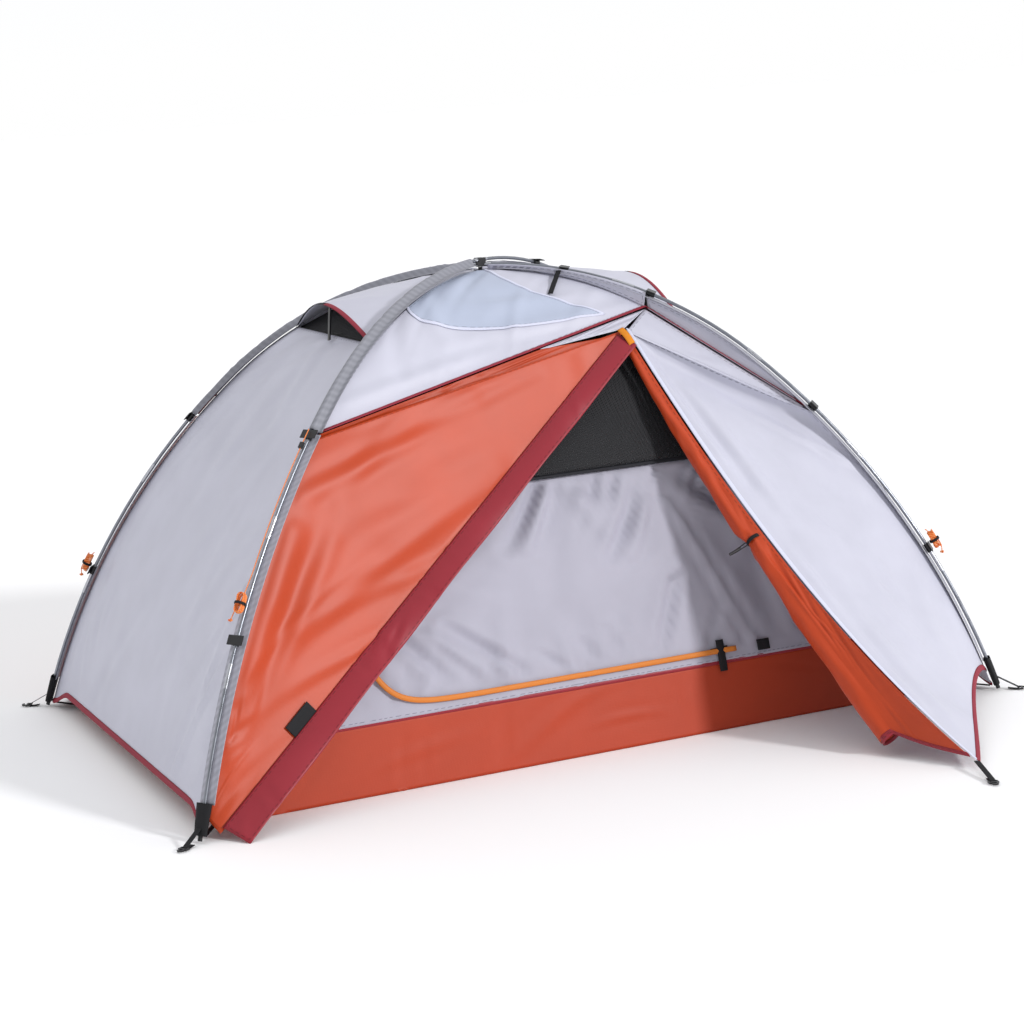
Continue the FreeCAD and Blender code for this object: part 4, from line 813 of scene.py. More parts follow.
def tip_gusset():
    """Pale wedge under the hood's left edge, from its tip to where the orange cloth reaches the edge."""
    return between(HOOD_TIP - UP * 0.006, APEX + np.array([-GAP, 0, 0]), JOIN, JOIN - UP * 0.003, 40, 50)


def orange_gusset():
    """Orange cloth between the zip's top and the hood's left edge, tucked behind the wall below."""
    return between(JOIN - UP * 0.001, APEX + TUCK, LEFT_SHOULDER - UP * 0.004, LEFT_SHOULDER + 1.5 * TUCK, 40, 70)


def right_gusset():
    """Pale cloth under the hood's right edge, down to the top of the side panel."""
    top = HOOD_TIP - UP * 0.005
    low = APEX + np.array([GAP, -0.004, 0.0]) - UP * 0.008
    far = mix(RIGHT_SHOULDER, HOOD_TIP, 0.02)
    return between(top, low, far - UP * 0.003, far - UP * 0.014, 40, 60)


def riser_grid(rows=70, columns=8):
    """Narrow cloth from the backing band down to the roof's right edge."""
    start = math.radians(1.2)
    stop = angle_at(1.097)
    band = lambda share: on_leg("rf", start + (stop - start) * share, inset=-0.001, lateral=-0.016)
    return rules(band, lambda share: roof_point(np.full(len(share), 0.998), share) + UP * 0.001, rows, columns)


TOP_HEART = np.array([0.0, 0.0, 0.0])


def drape(line, depth):
    """Line that hangs a little below its ends."""
    share = steps(len(line))
    return line - UP * (depth * 4 * share * (1 - share))[:, None]


for side, flip, seed in (("front", lambda g: g, 100), ("back", front_back, 100)):
    roof, crown = flip(roof_grid()), flip(crown_grid())
    tip = flip(HOOD_TIP)
    edges = [flip(mix(HOOD_TIP, corner, steps(50, 0.0, 1.0))) for corner in (LEFT_SHOULDER, RIGHT_SHOULDER)]
    forth = flip(np.array([0.0, -1.0, 0.0]))
    bindings = [strip_grid(line, forth, UP, 0.016, 0.004, lift=0.0012) for line in edges]
    binding = tapes(f"hood_edge_binding_{side}", bindings, "binding", replaces=("hood_bindings",))
    low_seam, side_seam = crown[-1], crown[:, -1]
    seams = [strip_grid(low_seam, unit(np.gradient(crown, axis=0)[-1]), UP, 0.010, 0.0012, lift=0.0008),
             strip_grid(side_seam, unit(np.gradient(crown, axis=1)[:, -1]), UP, 0.010, 0.0012, lift=0.0008)]
    seam = tapes(f"crown_seams_{side}", seams, "seam")
    cloth(f"roof_{side}", roof, "fly", roof_relief(seed), (f"fly_roof_{side}",),
          heart=TOP_HEART)
    cloth(f"crown_panel_{side}", crown, "crown",
          None, ("crown_panels",), heart=TOP_HEART)
    cloth(f"hood_wing_{side}", flip(wing_grid()), "fly",
          lambda g: creases(g, 150, 10, 1.6, 0.3, 0.12, 0.02, 0.0025) * pin(g, 0.02), ("hood_wings",),
          heart=TOP_HEART)
    riser = flip(riser_grid())
    cloth(f"roof_riser_{side}", riser, "fly", None, (f"fly_roof_{side}",),
          heart=TOP_HEART)
    gussets = (("tip", tip_gusset(), "fly", "fly_cloth"), ("orange", orange_gusset(), "orange", "orange_cloth"),
               ("right", right_gusset(), "fly", "fly_cloth"))
    for part, grid, colour, slot in gussets:
        cloth(f"hood_gusset_{part}_{side}", flip(grid), colour,
              lambda g: creases(g, 160, 12, 0.2, 0.3, 0.10, 0.012, 0.0020) * pin(g, 0.015), ("hood_gussets",))

# --- fly: vestibules -------------------------------------------------------------------------------


def wall_grid(rows=120, columns=110):
    leg = leg_line("lf", angle_at(0.861), angle_at(0.052), 1)
    apex = APEX - UP * GAP
    return rules(leg, lambda share: mix(apex, ZIP_FOOT, share), rows, columns)


def wall_relief(seed):
    def relief(grid):
        soft = creases(grid, seed, 16, 0.9, 0.6, 0.25, 0.045, 0.0022)
        soft += fold(grid, (0.08, 0.30), (0.16, 0.86), 0.030, 0.005)
        soft += fold(grid, (0.18, 0.26), (0.26, 0.80), 0.034, -0.004)
        soft += fold(grid, (0.28, 0.36), (0.30, 0.90), 0.026, 0.003)
        soft += fold(grid, (0.04, 0.20), (0.55, 0.06), 0.024, 0.003)
        soft += fold(grid, (0.04, 0.14), (0.75, 0.05), 0.020, -0.002)
        soft += fold(grid, (0.30, 0.55), (0.92, 0.30), 0.040, 0.004)
        soft += creases(grid, seed + 1, 16, 1.2, 0.3, 0.07, 0.012, 0.0025, (0.02, 0.25, 0.7, 0.98))
        return soft * pin(grid, 0.035)

    return relief


def flap_grid(rows=120, columns=16):
    """Storm flap over the zip: it lifts and widens a little towards the ground."""
    length = np.linalg.norm(ZIP_FOOT - APEX)
    run = np.linspace(0.030, length - 0.014, rows)
    share = (run / length)[:, None]
    across = steps(columns)[None, :]
    width = 0.060 + 0.020 * share**2
    wave = 0.005 * np.sin(9 * share * math.pi) * across**2 + 0.010 * across**2 * share**6
    height = 0.006 + 0.004 * np.sin(math.pi * across) + wave
    near = APEX + ZIP_RUN * run[:, None, None] + ZIP_ACROSS * (across * width - 0.004)[..., None]
    return near + DOOR_OUT * (height + 0 * share)[..., None]


def side_grid(rows=120, columns=110):
    leg = leg_line("rf", angle_at(0.774), angle_at(0.062), -1)
    panel = rules(lambda share: ridge(share) + np.array([GAP, 0, 0]), leg, rows, columns)
    hem_cut = 0.045 * np.sin(math.pi * steps(columns) ** 2.2) ** 0.7
    place = steps(rows)[:, None] * (1 - hem_cut)[None, :] * (rows - 1)
    row = np.minimum(place.astype(int), rows - 2)
    column = np.arange(columns)[None, :]
    share = (place - row)[..., None]
    return panel[row, column] * (1 - share) + panel[row + 1, column] * share


def side_relief(seed):
    def relief(grid):
        soft = creases(grid, seed, 22, 0.9, 0.5, 0.22, 0.030, 0.0028)
        soft += fold(grid, (0.03, 0.02), (0.10, 0.30), 0.020, 0.007)
        soft += fold(grid, (0.10, 0.06), (0.16, 0.36), 0.024, -0.006)
        soft += fold(grid, (0.20, 0.10), (0.24, 0.40), 0.022, 0.005)
        soft += fold(grid, (0.10, 0.40), (0.05, 0.85), 0.022, 0.006)
        soft += fold(grid, (0.20, 0.60), (0.14, 0.96), 0.026, 0.005)
        soft += fold(grid, (0.95, 0.55), (0.55, 0.90), 0.040, 0.004)
        s, t = spread(grid)
        across = steps(grid.shape[1])[None, :]
        under = 0.040 * (t / 0.05) * np.exp(1 - t / 0.05) * np.sin(math.pi * across) ** 0.6
        return soft * pin(grid, 0.035) - under

    return relief


def closed_door_grid(rows=110, columns=110):
    apex = APEX + ZIP_RUN * 0.084 + ZIP_ACROSS * 0.056
    foot = ZIP_FOOT - ZIP_RUN * 0.028 + ZIP_ACROSS * 0.056
    aside = np.array([-2 * GAP, 0, 0])
    return rules(lambda share: mix(apex, foot, share), lambda share: ridge(0.16 + 0.8 * share) + aside, rows, columns)


def zip_grid(near, far, lift_by, start=0.084, stop=0.028, rows=80, columns=7):
    length = np.linalg.norm(ZIP_FOOT - APEX)
    run = np.linspace(start, length - stop, rows)[:, None, None]
    across = np.linspace(near, far, columns)[None, :, None]
    lifts = np.full((1, columns, 1), lift_by)
    lifts[0, columns // 2] += 0.0012
    return APEX + ZIP_RUN * run + ZIP_ACROSS * across + DOOR_OUT * lifts


for side, flip, seed in (("front", lambda g: g, 200), ("back", front_back, 240)):
    wall, flap = flip(wall_grid()), flip(flap_grid())
    panel = flip(side_grid())
    hem = flip(side_grid())[-1]
    hem_tape = strip_grid(hem, unit(np.gradient(panel, axis=0)[-1]), unit(hem - HEART), 0.016, 0.003, lift=0.001)
    ridge_line = panel[:, 0]
    ridge_side = unit(panel[:, 1] - panel[:, 0])
    seam = tapes(f"ridge_seam_{side}", [strip_grid(ridge_line + ridge_side * 0.006, ridge_side, unit(ridge_line - HEART), 0.014, 0.0016, lift=0.001)],
                 "seam")
    hem_piece = tapes(f"hem_binding_{side}", [hem_tape], "binding")
    cloth(f"vestibule_panel_{side}", panel, "fly", side_relief(seed + 7),
          (f"vestibule_side_{side}",))
    cloth(f"vestibule_orange_{side}", wall, "orange", wall_relief(seed),
          (f"vestibule_wall_{side}",))
    cloth(f"zip_flap_{side}", flap, "crimson",
          lambda g: creases(g, 260, 22, 0.5, 0.4, 0.05, 0.008, 0.0030), (f"storm_flap_{side}",))
    tapes(f"zip_tapes_{side}", [flip(zip_grid(0.006, 0.034, 0.0012))], "zip_dark", replaces=("door_zips",))
cloth("door_closed_back", front_back(closed_door_grid()), "orange", wall_relief(300),
      ("door_back",))

# --- the front door, rolled up -----------------------------------------------------------------------

ROLL_STATIONS = ((0.02, 0.006), (0.10, 0.011), (0.30, 0.018), (0.385, 0.021), (0.41, 0.016), (0.435, 0.020), (0.62, 0.024))
TIE_SHARE = 0.41
ROLL_END = np.array([0.548, -1.063, 0.046])


def roll_centre(share):
    """Centre line and radius of the rolled door, which loosens below the tie."""
    radius = np.interp(share, [s for s, _ in ROLL_STATIONS], [r for _, r in ROLL_STATIONS])
    below = TIE_SHARE + 0.02
    tied = ridge(np.minimum(share, below)) + RIDGE_ASIDE * (radius + 0.010)[:, None] - DOOR_OUT * radius[:, None]
    loose = np.clip((share - below) / (0.98 - below), 0, 1)
    radius = radius + 0.004 * loose
    return mix(tied, ROLL_END, loose), radius


def door_roll_grid(rows=120, columns=260):
    """One sheet from the ridge seam into a spiral, whose layers hold the door's real width."""
    share = steps(rows, 0.03, 0.98)
    centre, radius = roll_centre(share)
    seam = ridge(share) + np.array([-GAP, 0, 0])
    width = 1.80 * share
    top = centre + DOOR_OUT * radius[:, None]
    reach = np.linalg.norm(top - seam, axis=1)
    pitch = np.clip(math.pi * radius**2 / np.maximum(width - reach, 0.02), 0.0019, 0.006)
    turns = (radius - 0.004) / pitch
    flat = 24
    grid = np.zeros((rows, columns, 3))
    across = steps(flat)[None, :, None]
    grid[:, :flat] = seam[:, None] * (1 - across) + top[:, None] * across
    sag = np.sin(math.pi * steps(flat))[None, :, None] * (0.10 * reach)[:, None, None]
    grid[:, :flat] -= DOOR_OUT * sag * 0.5
    share_in = steps(columns - flat + 1)[1:]
    theta = 2 * math.pi * turns[:, None] * share_in[None, :]
    size = radius[:, None] - pitch[:, None] * theta / (2 * math.pi)
    twist = 1 + 0.05 * np.sin(2 * theta + share[:, None] * 26) + 0.02 * np.sin(3 * theta - share[:, None] * 60 + 1)
    gathered = np.exp(-(((share - TIE_SHARE) / 0.035) ** 2))[:, None]
    twist = twist + 0.10 * gathered * np.sin(5 * theta + share[:, None] * 50)
    outer = size * np.where(theta < 1, 1 + (twist - 1) * theta, twist)
    grid[:, flat:] = centre[:, None] + DOOR_OUT * (outer * np.cos(theta))[..., None] + RIDGE_ASIDE * (outer * np.sin(theta))[..., None]
    return grid


roll = door_roll_grid()
roll_hem = tapes("door_hem_crimson", [strip_grid(roll[-1, :80], RIDGE_RUN, DOOR_OUT, 0.016, 0.003, lift=0.002)],
                 "crimson", heart=None)
door = cloth("door_rolled_front", roll, "orange",
             lambda g: creases(g, 310, 46, 1.35, 0.22, 0.16, 0.009, 0.0030, (0, 0.14, 0.02, 0.98)) * pin(g, 0.02, ("first",)),
             ("door_front",), heart=None)


def loop_grid(centre, first, second, radius, width, axis, rows=40):
    """A closed band round a centre."""
    turn = steps(rows, 0, 2 * math.pi)
    line = centre + first * (radius * np.cos(turn))[:, None] + second * (radius * np.sin(turn))[:, None]
    out = first * np.cos(turn)[:, None] + second * np.sin(turn)[:, None]
    return strip_grid(line, axis, out, width, 0.0008)


tie_centre, tie_radius = roll_centre(np.array([TIE_SHARE]))
band = tie_radius[0] * 1.13 + 0.002
toggle = (np.array(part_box("door_toggle")[0]) + np.array(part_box("door_toggle")[1])) / 2
tie_edge = tie_centre[0] + RIDGE_ASIDE * band
tie_loops = [strip_grid(mix(tie_edge + RIDGE_RUN * gap, toggle + RIDGE_RUN * gap * 0.6, steps(12)), RIDGE_RUN, DOOR_OUT, 0.003, 0.0004)
             for gap in (-0.004, 0.004)]
tapes("door_tie", [loop_grid(tie_centre[0], DOOR_OUT, RIDGE_ASIDE, band, 0.010, RIDGE_RUN)] + tie_loops,
      "webbing", heart=tie_centre[0])
tab = APEX + RIDGE_RUN * np.linspace(0.0, 0.055, 14)[:, None] + DOOR_OUT * (0.010 + 0.006 * np.sin(steps(14) * 3.1))[:, None]
tapes("door_tab_amber", [strip_grid(tab + RIDGE_ASIDE * 0.016, RIDGE_ASIDE, DOOR_OUT, 0.018, 0.002)],
      "orange_webbing", heart=None)

# --- pole sleeves, bands and pockets -------------------------------------------------------------------


def cover_grid(leg, start, end, bump, width=0.044, rows=200, columns=21, base=0.0095, seed=0):
    """Cloth strip along a pole, sewn down at both edges and raised over the pole."""
    angle = np.linspace(start, end, rows)
    across = steps(columns, -1, 1)
    rng = np.random.default_rng(seed)
    ripple = np.zeros(rows)
    for _ in range(40):
        place, length = rng.uniform(0, 1), rng.uniform(0.004, 0.02)
        ripple += rng.uniform(-1, 1) * np.exp(-(((steps(rows) - place) / length) ** 2))
    profile = -base + bump * np.exp(-((across / 0.42) ** 4))
    profile = profile[None, :] + 0.0010 * ripple[:, None] * np.cos(across * math.pi / 2)[None, :]
    line = on_leg(leg, angle, inset=0.0, shape=POLE[leg])
    out, side = leg_normal(leg, angle), sideways(leg)
    return line[:, None] + side * (across * width / 2)[None, :, None] + out[:, None] * profile[..., None]


def covers(leg, sleeve_end):
    """Sleeve down to a height, then a backing band down to the foot pocket."""
    start, pocket = 0.046 / CROWN, angle_at(0.085, POLE[leg])
    sleeve = angle_at(sleeve_end, POLE[leg])
    return start, sleeve, pocket


bands = []
for leg, letter, height in (("lf", "a", 0.873), ("lb", "b", 0.822)):
    start, sleeve_end, pocket = covers(leg, height)
    cloth(f"sleeve_{letter}", cover_grid(leg, start, sleeve_end, 0.0175, seed=ord(letter)), "sleeve",
          replaces=(f"pole_sleeve_{letter}",), thick=0.0009)
    bands.append(cover_grid(leg, sleeve_end + 0.003, pocket, 0.0016, rows=140, base=0.0098, seed=8))
for leg in ("rf", "rb"):
    start, _, pocket = covers(leg, 0.786)
    bands.append(cover_grid(leg, start, pocket, 0.0016, rows=220, base=0.0098, seed=9))
cloth("pole_backing_bands", bands, "band", replaces=("backing_bands",),
      thick=0.0009)


def pocket_grid(leg, rows=40, columns=49):
    """Reinforced pocket round the foot of a pole, pinched towards its lower end."""
    angle = np.linspace(angle_at(0.087, POLE[leg]), POLE[leg]["end"], rows)
    turn = steps(columns, 0, 2 * math.pi)
    share = steps(rows)[:, None]
    half = 0.0215 - 0.004 * share + 0.0006 * np.sin(5 * turn)[None, :]
    deep = 0.0095 - 0.001 * share + 0 * turn[None, :]
    round_off = np.sign(np.cos(turn)) * np.abs(np.cos(turn)) ** 0.7
    line = on_leg(leg, angle, inset=0.0, shape=POLE[leg])
    return (line[:, None] + sideways(leg) * (half * round_off)[..., None]
            + leg_normal(leg, angle)[:, None] * (deep * np.sin(turn))[..., None])


for leg in CORNERS:
    grid = pocket_grid(leg)
    middle = grid.mean(axis=(0, 1))
    cloth(f"foot_pocket_{leg}", grid, "webbing", replaces=("foot_pockets",),
          heart=middle, closed=True, thick=0.0012)

# --- inner tent ----------------------------------------------------------------------------------------


def on_inner(leg, angle, lateral=0.0):
    point = on_leg(leg, angle, inset=0.0)
    scale = np.array([2.060 / 2.200, 1.260 / 1.450, 1.080 / 1.174])
    return (point - UP * TIP) * scale + sideways(leg) * lateral


def inner_angle(height):
    return angle_at(height * 1.174 / 1.080 + TIP)


def inner_grid(first, second, top, low, bow, rows=100, columns=110):
    angle = np.linspace(top, low, rows)
    middle = unit(outward(first) + outward(second))
    start, end = on_inner(first, angle, GAP), on_inner(second, angle, -GAP)
    across = steps(columns)
    grid = start[:, None] * (1 - across)[None, :, None] + end[:, None] * across[None, :, None]
    sag = bow * np.sin(math.pi * np.minimum(1, angle / low))[:, None] * np.sin(math.pi * across)[None, :]
    return grid - middle * sag[..., None]


ZIP_HEIGHT = 0.200
INNER_FOLDS = (
    ((0.468, 0.01), (0.39, 0.34), 0.020, -0.010), ((0.49, 0.01), (0.43, 0.36), 0.016, 0.008),
    ((0.62, 0.02), (0.59, 0.20), 0.014, -0.007), ((0.64, 0.18), (0.56, 0.45), 0.018, -0.010),
    ((0.66, 0.20), (0.60, 0.46), 0.016, 0.007), ((0.655, 0.58), (0.60, 0.91), 0.018, -0.010),
    ((0.532, 0.76), (0.545, 0.91), 0.009, -0.006), ((0.56, 0.82), (0.56, 0.91), 0.008, -0.005),
    ((0.49, 0.80), (0.505, 0.91), 0.010, -0.006), ((0.43, 0.82), (0.45, 0.90), 0.009, -0.005),
    ((0.20, 0.60), (0.29, 0.86), 0.018, -0.009), ((0.26, 0.66), (0.34, 0.87), 0.014, 0.008),
    ((0.29, 0.64), (0.40, 0.89), 0.014, -0.008), ((0.12, 0.45), (0.22, 0.84), 0.024, 0.008),
    ((0.697, 0.22), (0.734, 0.96), 0.012, 0.009), ((0.74, 0.10), (0.90, 0.62), 0.026, -0.009),
    ((0.84, 0.30), (0.80, 0.90), 0.026, 0.008), ((0.95, 0.20), (0.88, 0.80), 0.022, 0.007),
)


def inner_relief(seed, strength=1.0):
    def relief(grid):
        soft = creases(grid, seed, 30, 1.2, 0.6, 0.16, 0.026, 0.0055)
        soft += creases(grid, seed + 1, 40, math.pi / 2, 0.12, 0.07, 0.010, 0.0050, (0.03, 0.97, 0.02, 0.16))
        soft += creases(grid, seed + 2, 30, 1.35, 0.25, 0.08, 0.012, 0.0045, (0.05, 0.95, 0.82, 0.97))
        for start, end, width, height in INNER_FOLDS:
            soft += fold(grid, start, end, width, height)
        calm = 1 - 0.85 * np.exp(-(((grid[..., 2] - ZIP_HEIGHT) / 0.014) ** 2))
        return strength * soft * calm * pin(grid, 0.025)

    return relief


low, edge = inner_angle(0.171), inner_angle(0.680)
gap = GAP / CROWN
for side, flip, seed in (("front", lambda g: g, 400), ("back", front_back, 430)):
    wall = flip(inner_grid("lf", "rf", edge + gap, low, 0.036))
    net = flip(inner_grid("lf", "rf", math.radians(1.2), edge - gap, 0.0))
    tape = strip_grid(mix(wall[0], net[-1], 0.5), unit(np.gradient(wall, axis=0)[0]), unit(wall[0] - HEART), 0.018, 0.0015)
    tape_piece = tapes(f"mesh_tape_{side}", [tape], "mesh_tape")
    cloth(f"inner_lower_{side}", wall, "inner", inner_relief(seed, 1.7), (f"inner_wall_{side}",))
    cloth(f"inner_net_{side}", net, "mesh",
          lambda g: creases(g, 450, 14, 0.9, 0.4, 0.3, 0.03, 0.006) * pin(g, 0.03), ("inner_mesh_panels",),
          thick=0.0005)
for side, flip, seed in (("left", lambda g: g, 460), ("right", left_right, 480)):
    end = flip(inner_grid("lb", "lf", math.radians(1.2), low, 0.0))
    cloth(f"inner_end_{side}", end, "inner",
          lambda g: inner_relief(seed)(g) * 0.8, (f"inner_wall_{side}",))


def tub_grid(rows=56, columns=401):
    """Bathtub floor in one sheet: rings from the middle of the floor out and up its walls."""
    across = steps(columns, 0, 4)
    side = np.floor(np.minimum(across, 3.9999)).astype(int)
    share = across - side
    square = np.array([[-1, -1], [1, -1], [1, 1], [-1, 1], [-1, -1]], float)
    rim = square[side] + (square[side + 1] - square[side]) * share[:, None]
    rim = rim * np.array([1.030, 0.630])
    floor_rows = rows - 22
    grid = np.zeros((rows, columns, 3))
    grow = steps(floor_rows, 0.02, 1)[:, None, None]
    grid[:floor_rows, :, :2] = rim[None] * grow
    grid[:floor_rows, :, 2] = 0.0006
    rise = steps(22)
    top = np.array([0.9743 / 1.030, 0.5959 / 0.630])
    scale = 1 + (top - 1)[None, :] * rise[:, None]
    grid[floor_rows:, :, :2] = rim[None] * scale[:, None, :]
    grid[floor_rows:, :, 2] = 0.0006 + 0.1674 * rise[:, None]
    return grid


def tub_relief(grid):
    up = np.clip(grid[..., 2] / 0.02, 0, 1) * np.clip((0.168 - grid[..., 2]) / 0.02, 0, 1)
    soft = creases(grid, 500, 70, 0.3, 0.5, 0.12, 0.018, 0.0045, (0, 1, 0.62, 0.98))
    soft += creases(grid, 501, 40, 1.3, 0.4, 0.06, 0.012, 0.0035, (0, 1, 0.7, 0.98))
    return soft * up


tub = tub_grid()
rim = tub[-1]
tub_tape = tapes("tub_rim_seam", [strip_grid(rim + UP * 0.001, UP, unit(rim * np.array([1, 1, 0])), 0.010, 0.0014, lift=0.001)],
                 "crimson")
cloth("tub_floor", tub, "tub", tub_relief, ("inner_tub",),
      heart=np.array([0, 0, 0.6]), closed=True, thick=0.0012)


def inner_front_at(x, height):
    """Place on the inner's front wall, with the wall's inward bow."""
    angle = inner_angle(height)
    first, second = on_inner("lf", angle, GAP), on_inner("rf", angle, -GAP)
    share = np.clip((x - first[..., 0]) / (second[..., 0] - first[..., 0]), 0, 1)
    bow = 0.036 * np.sin(math.pi * np.minimum(1, angle / low)) * np.sin(math.pi * share)
    place = mix(first, second, share)
    place[..., 1] += bow
    return place


zip_x = np.linspace(-0.600, 0.390, 90)
curl = 0.10 * np.exp(-((zip_x + 0.600) / 0.045) ** 1.0)
zip_line = inner_front_at(zip_x, ZIP_HEIGHT + curl) + np.array([0, -0.009, 0])
zip_side = unit(np.cross(run_of(zip_line), np.array([0, -1.0, 0.2])))
tapes("inner_zip_tape", [strip_grid(zip_line, zip_side, np.array([0, -1.0, 0]), 0.014, 0.0022)], "zip_orange",
      replaces=("inner_zip",))

seam_angle = np.linspace(edge, low, 60)
corner_seams = []
for leg in CORNERS:
    line = on_inner(leg, seam_angle)
    corner_seams.append(strip_grid(line, sideways(leg), leg_normal(leg, seam_angle), 0.014, 0.0016, lift=0.002))
tapes("inner_corner_seams", corner_seams, "inner")

buckle_x = 0.345
buckle = np.array([inner_front_at(np.array(buckle_x), np.array(h)) for h in np.linspace(0.150, 0.228, 14)])
buckle = buckle + np.array([0, -0.010, 0])
tapes("inner_side_strap", [strip_grid(buckle, np.array([1.0, 0, 0]), np.array([0, -1.0, 0]), 0.022, 0.002)], "webbing")
note = np.array([inner_front_at(np.array(0.47), np.array(h)) for h in np.linspace(0.185, 0.212, 8)]) + np.array([0, -0.009, 0])
tapes("inner_plain_patch", [strip_grid(note, np.array([1.0, 0, 0]), np.array([0, -1.0, 0]), 0.036, 0.0006)], "webbing")

# --- plain patch on the orange wall ------------------------------------------------------------------------

wall = wall_grid()
wall_raised = wall + normals_of(wall, HEART)[...] * wall_relief(200)(wall)[..., None]


def patch_grid(node):
    """Patch that lies on the creased wall where the CAD patch lies."""
    flat = wall_raised.reshape(-1, 3)
    centre = np.array([v.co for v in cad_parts[node].data.vertices]).mean(axis=0)
    near = flat[np.argmin(np.linalg.norm(flat - centre, axis=1))]
    out = normals_of(wall, HEART).reshape(-1, 3)[np.argmin(np.linalg.norm(flat - centre, axis=1))]
    run = unit(ZIP_RUN - out * (ZIP_RUN @ out))
    side = np.cross(out, run)
    line = near + run * np.linspace(-0.042, 0.042, 24)[:, None] + out * 0.006
    return strip_grid(line, side, out, 0.034, 0.0006, columns=13)


patch = patch_grid("label_patch")
tapes("wall_patch_plain", [patch], "webbing", thick=0.0012, replaces=("label_patch",))

# --- straps --------------------------------------------------------------------------------------------------


def strap_between(start, end, up, width, count=14, sag=0.0):
    line = mix(start, end, steps(count))
    line = line - UP * (sag * 4 * steps(count) * (1 - steps(count)))[:, None]
    side = unit(np.cross(end - start, up))
    return strip_grid(line, side, np.asarray(up, float), width, 0.0008)


def roof_strap_grids():
    low = roof_point(np.array(0.80), np.array(0.66)) + UP * 0.007
    high = on_leg("rf", angle_at(1.169), inset=0.0, lateral=-0.008)
    tip_top = on_leg("rf", angle_at(1.097), inset=0.002)
    return [strap_between(low, high, UP, 0.014), strap_between(HOOD_TIP + UP * 0.001, tip_top, sideways("rf"), 0.020)]


strap_grids = roof_strap_grids()
tapes("roof_pull_straps", strap_grids + [front_back(g) for g in strap_grids], "webbing", replaces=("roof_straps",))

PEG_BARS = {
    "lf": np.array([-1.1459, -0.7553, 0.0080]), "rf": np.array([1.1459, -0.7553, 0.0080]),
    "rb": np.array([1.1459, 0.7553, 0.0080]), "lb": np.array([-1.1459, 0.7553, 0.0080]),
    "front": np.array([0.6173, -1.3919, 0.0080]), "back": np.array([0.6173, 1.3919, 0.0080]),
}


def peg_strap(name):
    """Webbing from the tent's edge round the hook's bar and back under itself."""
    bar = PEG_BARS[name].copy()
    bar[2] = (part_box(f"peg_hook_{name}" if name in ("front", "back") else f"peg_hook_foot_{name}")[0].z
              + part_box(f"peg_hook_{name}" if name in ("front", "back") else f"peg_hook_foot_{name}")[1].z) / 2
    if name in ("front", "back"):
        start = PEG_CORNER * (np.array([1, -1, 1]) if name == "back" else 1)
    else:
        start = on_leg(name, POLE[name]["end"] - 0.012, inset=0.0, shape=POLE[name])
    run = unit((bar - start) * np.array([1, 1, 0]))
    side = np.cross(run, UP)
    turn = np.linspace(math.pi / 2, -math.pi / 2, 14)
    reach = 0.0027
    loop = bar + run * (reach * np.cos(turn))[:, None] + UP * (reach * np.sin(turn))[:, None]
    top = mix(start, loop[0], steps(12))
    under = mix(loop[-1], bar - run * 0.026 + UP * (reach * 0.2), steps(8))
    return strip_grid(np.concatenate([top[:-1], loop, under[1:]]), side, np.array([0, 0, 0.0]), 0.014, 0.0)


tapes("peg_loops", [peg_strap(name) for name in PEG_BARS], "webbing", thick=0.0011,
      replaces=("peg_webbings",), heart=None)


def hanger_grids():
    top = on_inner("lf", 0.0)[2] + GAP
    turn = steps(33, 0, 2 * math.pi)
    rings = np.linspace(0.002, 0.024, 8)
    disc = np.stack([np.stack([r * np.cos(turn), r * np.sin(turn), np.full(33, top + 0.002 - 0.002 * (r / 0.024) ** 2)], axis=1) for r in rings])
    strap = strap_between(np.array([0, 0, top]), np.array([0, 0, 1.183]), np.array([0, -1.0, 0]), 0.012)
    grids = [disc, strap]
    for leg, (x, y) in CORNERS.items():
        start = np.array([x * 1.030, y * 0.630, 0.011]) + outward(leg) * 0.003
        end = outward(leg) * (np.hypot(*SPAN) / 2 - 0.016) + UP * 0.011
        grids.append(strap_between(start, end, UP, 0.012))
    return grids


tapes("inner_hanging_straps", hanger_grids(), "webbing", replaces=("inner_hangers",), thick=0.0010)

# --- cord fittings ---------------------------------------------------------------------------------------------


def knot_piece(name, centre):
    """An overhand stopper knot in the end of a guy line."""
    turn = np.linspace(0, 2 * math.pi, 37)[:-1]
    x = np.sin(turn) + 2 * np.sin(2 * turn)
    y = np.cos(turn) - 2 * np.cos(2 * turn)
    points = np.stack([x, y, -1.3 * np.sin(3 * turn)], axis=1) * 0.0016 + centre
    curve = bpy.data.curves.new(name, "CURVE")
    curve.dimensions = "3D"
    spline = curve.splines.new("NURBS")
    spline.points.add(len(points) - 1)
    for point, place in zip(spline.points, points):
        point.co = (*place, 1.0)
    spline.order_u = 3
    spline.use_cyclic_u = True
    curve.bevel_depth = CORD / 2
    curve.bevel_resolution = 2
    piece = bpy.data.objects.new(name, curve)
    bpy.context.scene.collection.objects.link(piece)
    only(piece)
    bpy.ops.object.convert(target="MESH")
    piece.data.materials.append(MATERIALS["guy"])
    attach(piece, "tent")
    return piece


for leg, cord in cords.items():
    cord.data.materials.append(MATERIALS["guy"])
    along, across, out = hank_axes(leg)
    centre = HANKS[leg]
    tie = tapes(f"hank_tie_{leg}", [loop_grid(centre + along * 0.002, across, out, 0.0135, 0.007, along)], "webbing",
                heart=centre)
    spline = cord.data.splines[0]
    last = np.array(spline.points[-1].co[:3])
    knot = knot_piece(f"guy_knot_{leg}", last)
    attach(cord, "tent")
    if leg == "lf":
        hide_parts("guy_line_lf", "guy_hank_lf")
    else:
        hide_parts(f"guy_hank_{leg}")

# --- CAD pieces that stay, with their finishes ---------------------------------------------------------------------

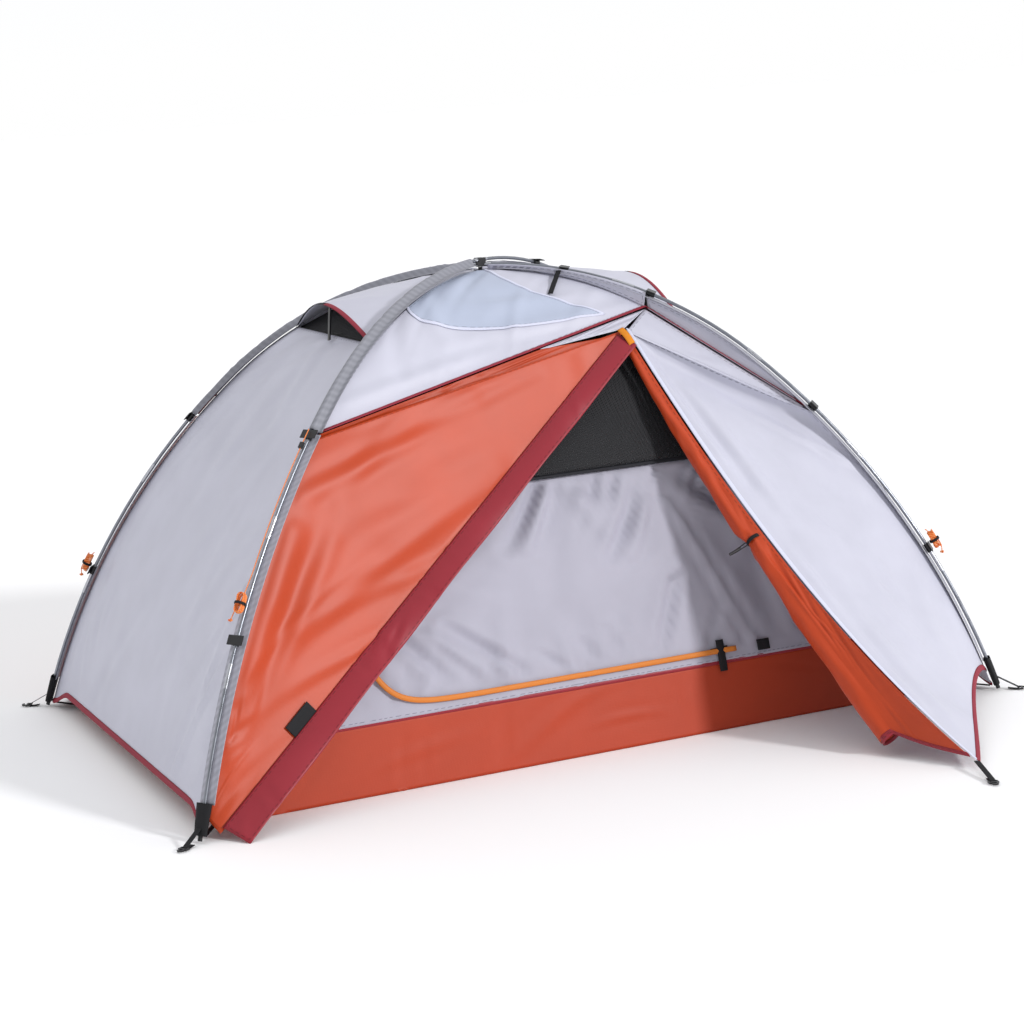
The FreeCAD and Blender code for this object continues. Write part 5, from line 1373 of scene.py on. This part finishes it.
FINISH = {
    "plastic": ("crossing_tie", "door_toggle", "guy_lock", "pole_clips", "peg_hook_back", "peg_hook_foot_lb",
                "peg_hook_foot_lf", "peg_hook_foot_rb", "peg_hook_foot_rf", "peg_hook_front", "pole_end_plugs",
                "zip_slider_back", "zip_slider_front", "inner_zip_slider", "vent_prop_left", "vent_prop_right"),
    "pole": ("pole_a_sections", "pole_b_sections"),
    "ferrule": ("pole_joint_sleeves",),
    "rubber": ("pole_shock_cords",),
}
for finish, nodes in FINISH.items():
    for node in nodes:
        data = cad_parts[node].data
        data.materials.clear()
        data.materials.append(MATERIALS[finish])

# --- floor, light and world ------------------------------------------------------------------------------------------

bpy.ops.object.select_all(action="DESELECT")
bpy.ops.mesh.primitive_plane_add(size=120, location=(0, 0, -0.0005))
floor = bpy.context.active_object
floor.name = "floor"
paper, tree, shader = blank_material("matt_white_paper")
fill(tree, shader, {"Base Color": linear("#FEFEFF"), "Roughness": 0.9, "Specular IOR Level": 0.1})
floor.data.materials.append(paper)

world = bpy.data.worlds.new("studio")
bpy.context.scene.world = world
world.use_nodes = True
sky = world.node_tree
background = sky.nodes["Background"]
way = add_node(sky, "ShaderNodeTexCoord")
axes = add_node(sky, "ShaderNodeSeparateXYZ", inputs={"Vector": way.outputs["Generated"]})
ramps = []
for levels in (((0.04, 1.0), (0.12, 0.30), (0.50, 0.35), (0.80, 0.95)), ((0.04, 1.0), (0.12, 0.90), (0.50, 0.90), (0.80, 0.95))):
    ramp = add_node(sky, "ShaderNodeValToRGB", inputs={"Fac": axes.outputs["Z"]})
    ramp.color_ramp.elements[0].color = (1.0, 1.0, 1.0, 1.0)
    ramp.color_ramp.elements[-1].color = (0.95, 0.955, 0.97, 1.0)
    for place, level_of in levels:
        stop = ramp.color_ramp.elements.new(place)
        stop.color = (level_of * 0.985, level_of * 0.99, level_of, 1.0)
    ramps.append(ramp)
front = add_node(sky, "ShaderNodeMapRange", inputs={"Value": axes.outputs["Y"], "From Min": -0.7, "From Max": 0.0})
blended = add_node(sky, "ShaderNodeMix", {"data_type": "RGBA"},
                   {"Factor": front.outputs[0], 6: ramps[0].outputs["Color"], 7: ramps[1].outputs["Color"]})
sky.links.new(blended.outputs[2], background.inputs["Color"])
background.inputs["Strength"].default_value = 1.0

lamp = bpy.data.lights.new("key", "SUN")
lamp.energy = 2.0
lamp.angle = math.radians(7)
key = bpy.data.objects.new("key", lamp)
towards = Vector((math.sin(math.radians(32)) * math.cos(math.radians(23)),
                  -math.cos(math.radians(32)) * math.cos(math.radians(23)), math.sin(math.radians(23))))
key.rotation_euler = towards.to_track_quat("Z", "Y").to_euler()
bpy.context.scene.collection.objects.link(key)
bpy.context.scene.view_settings.view_transform = "Standard"
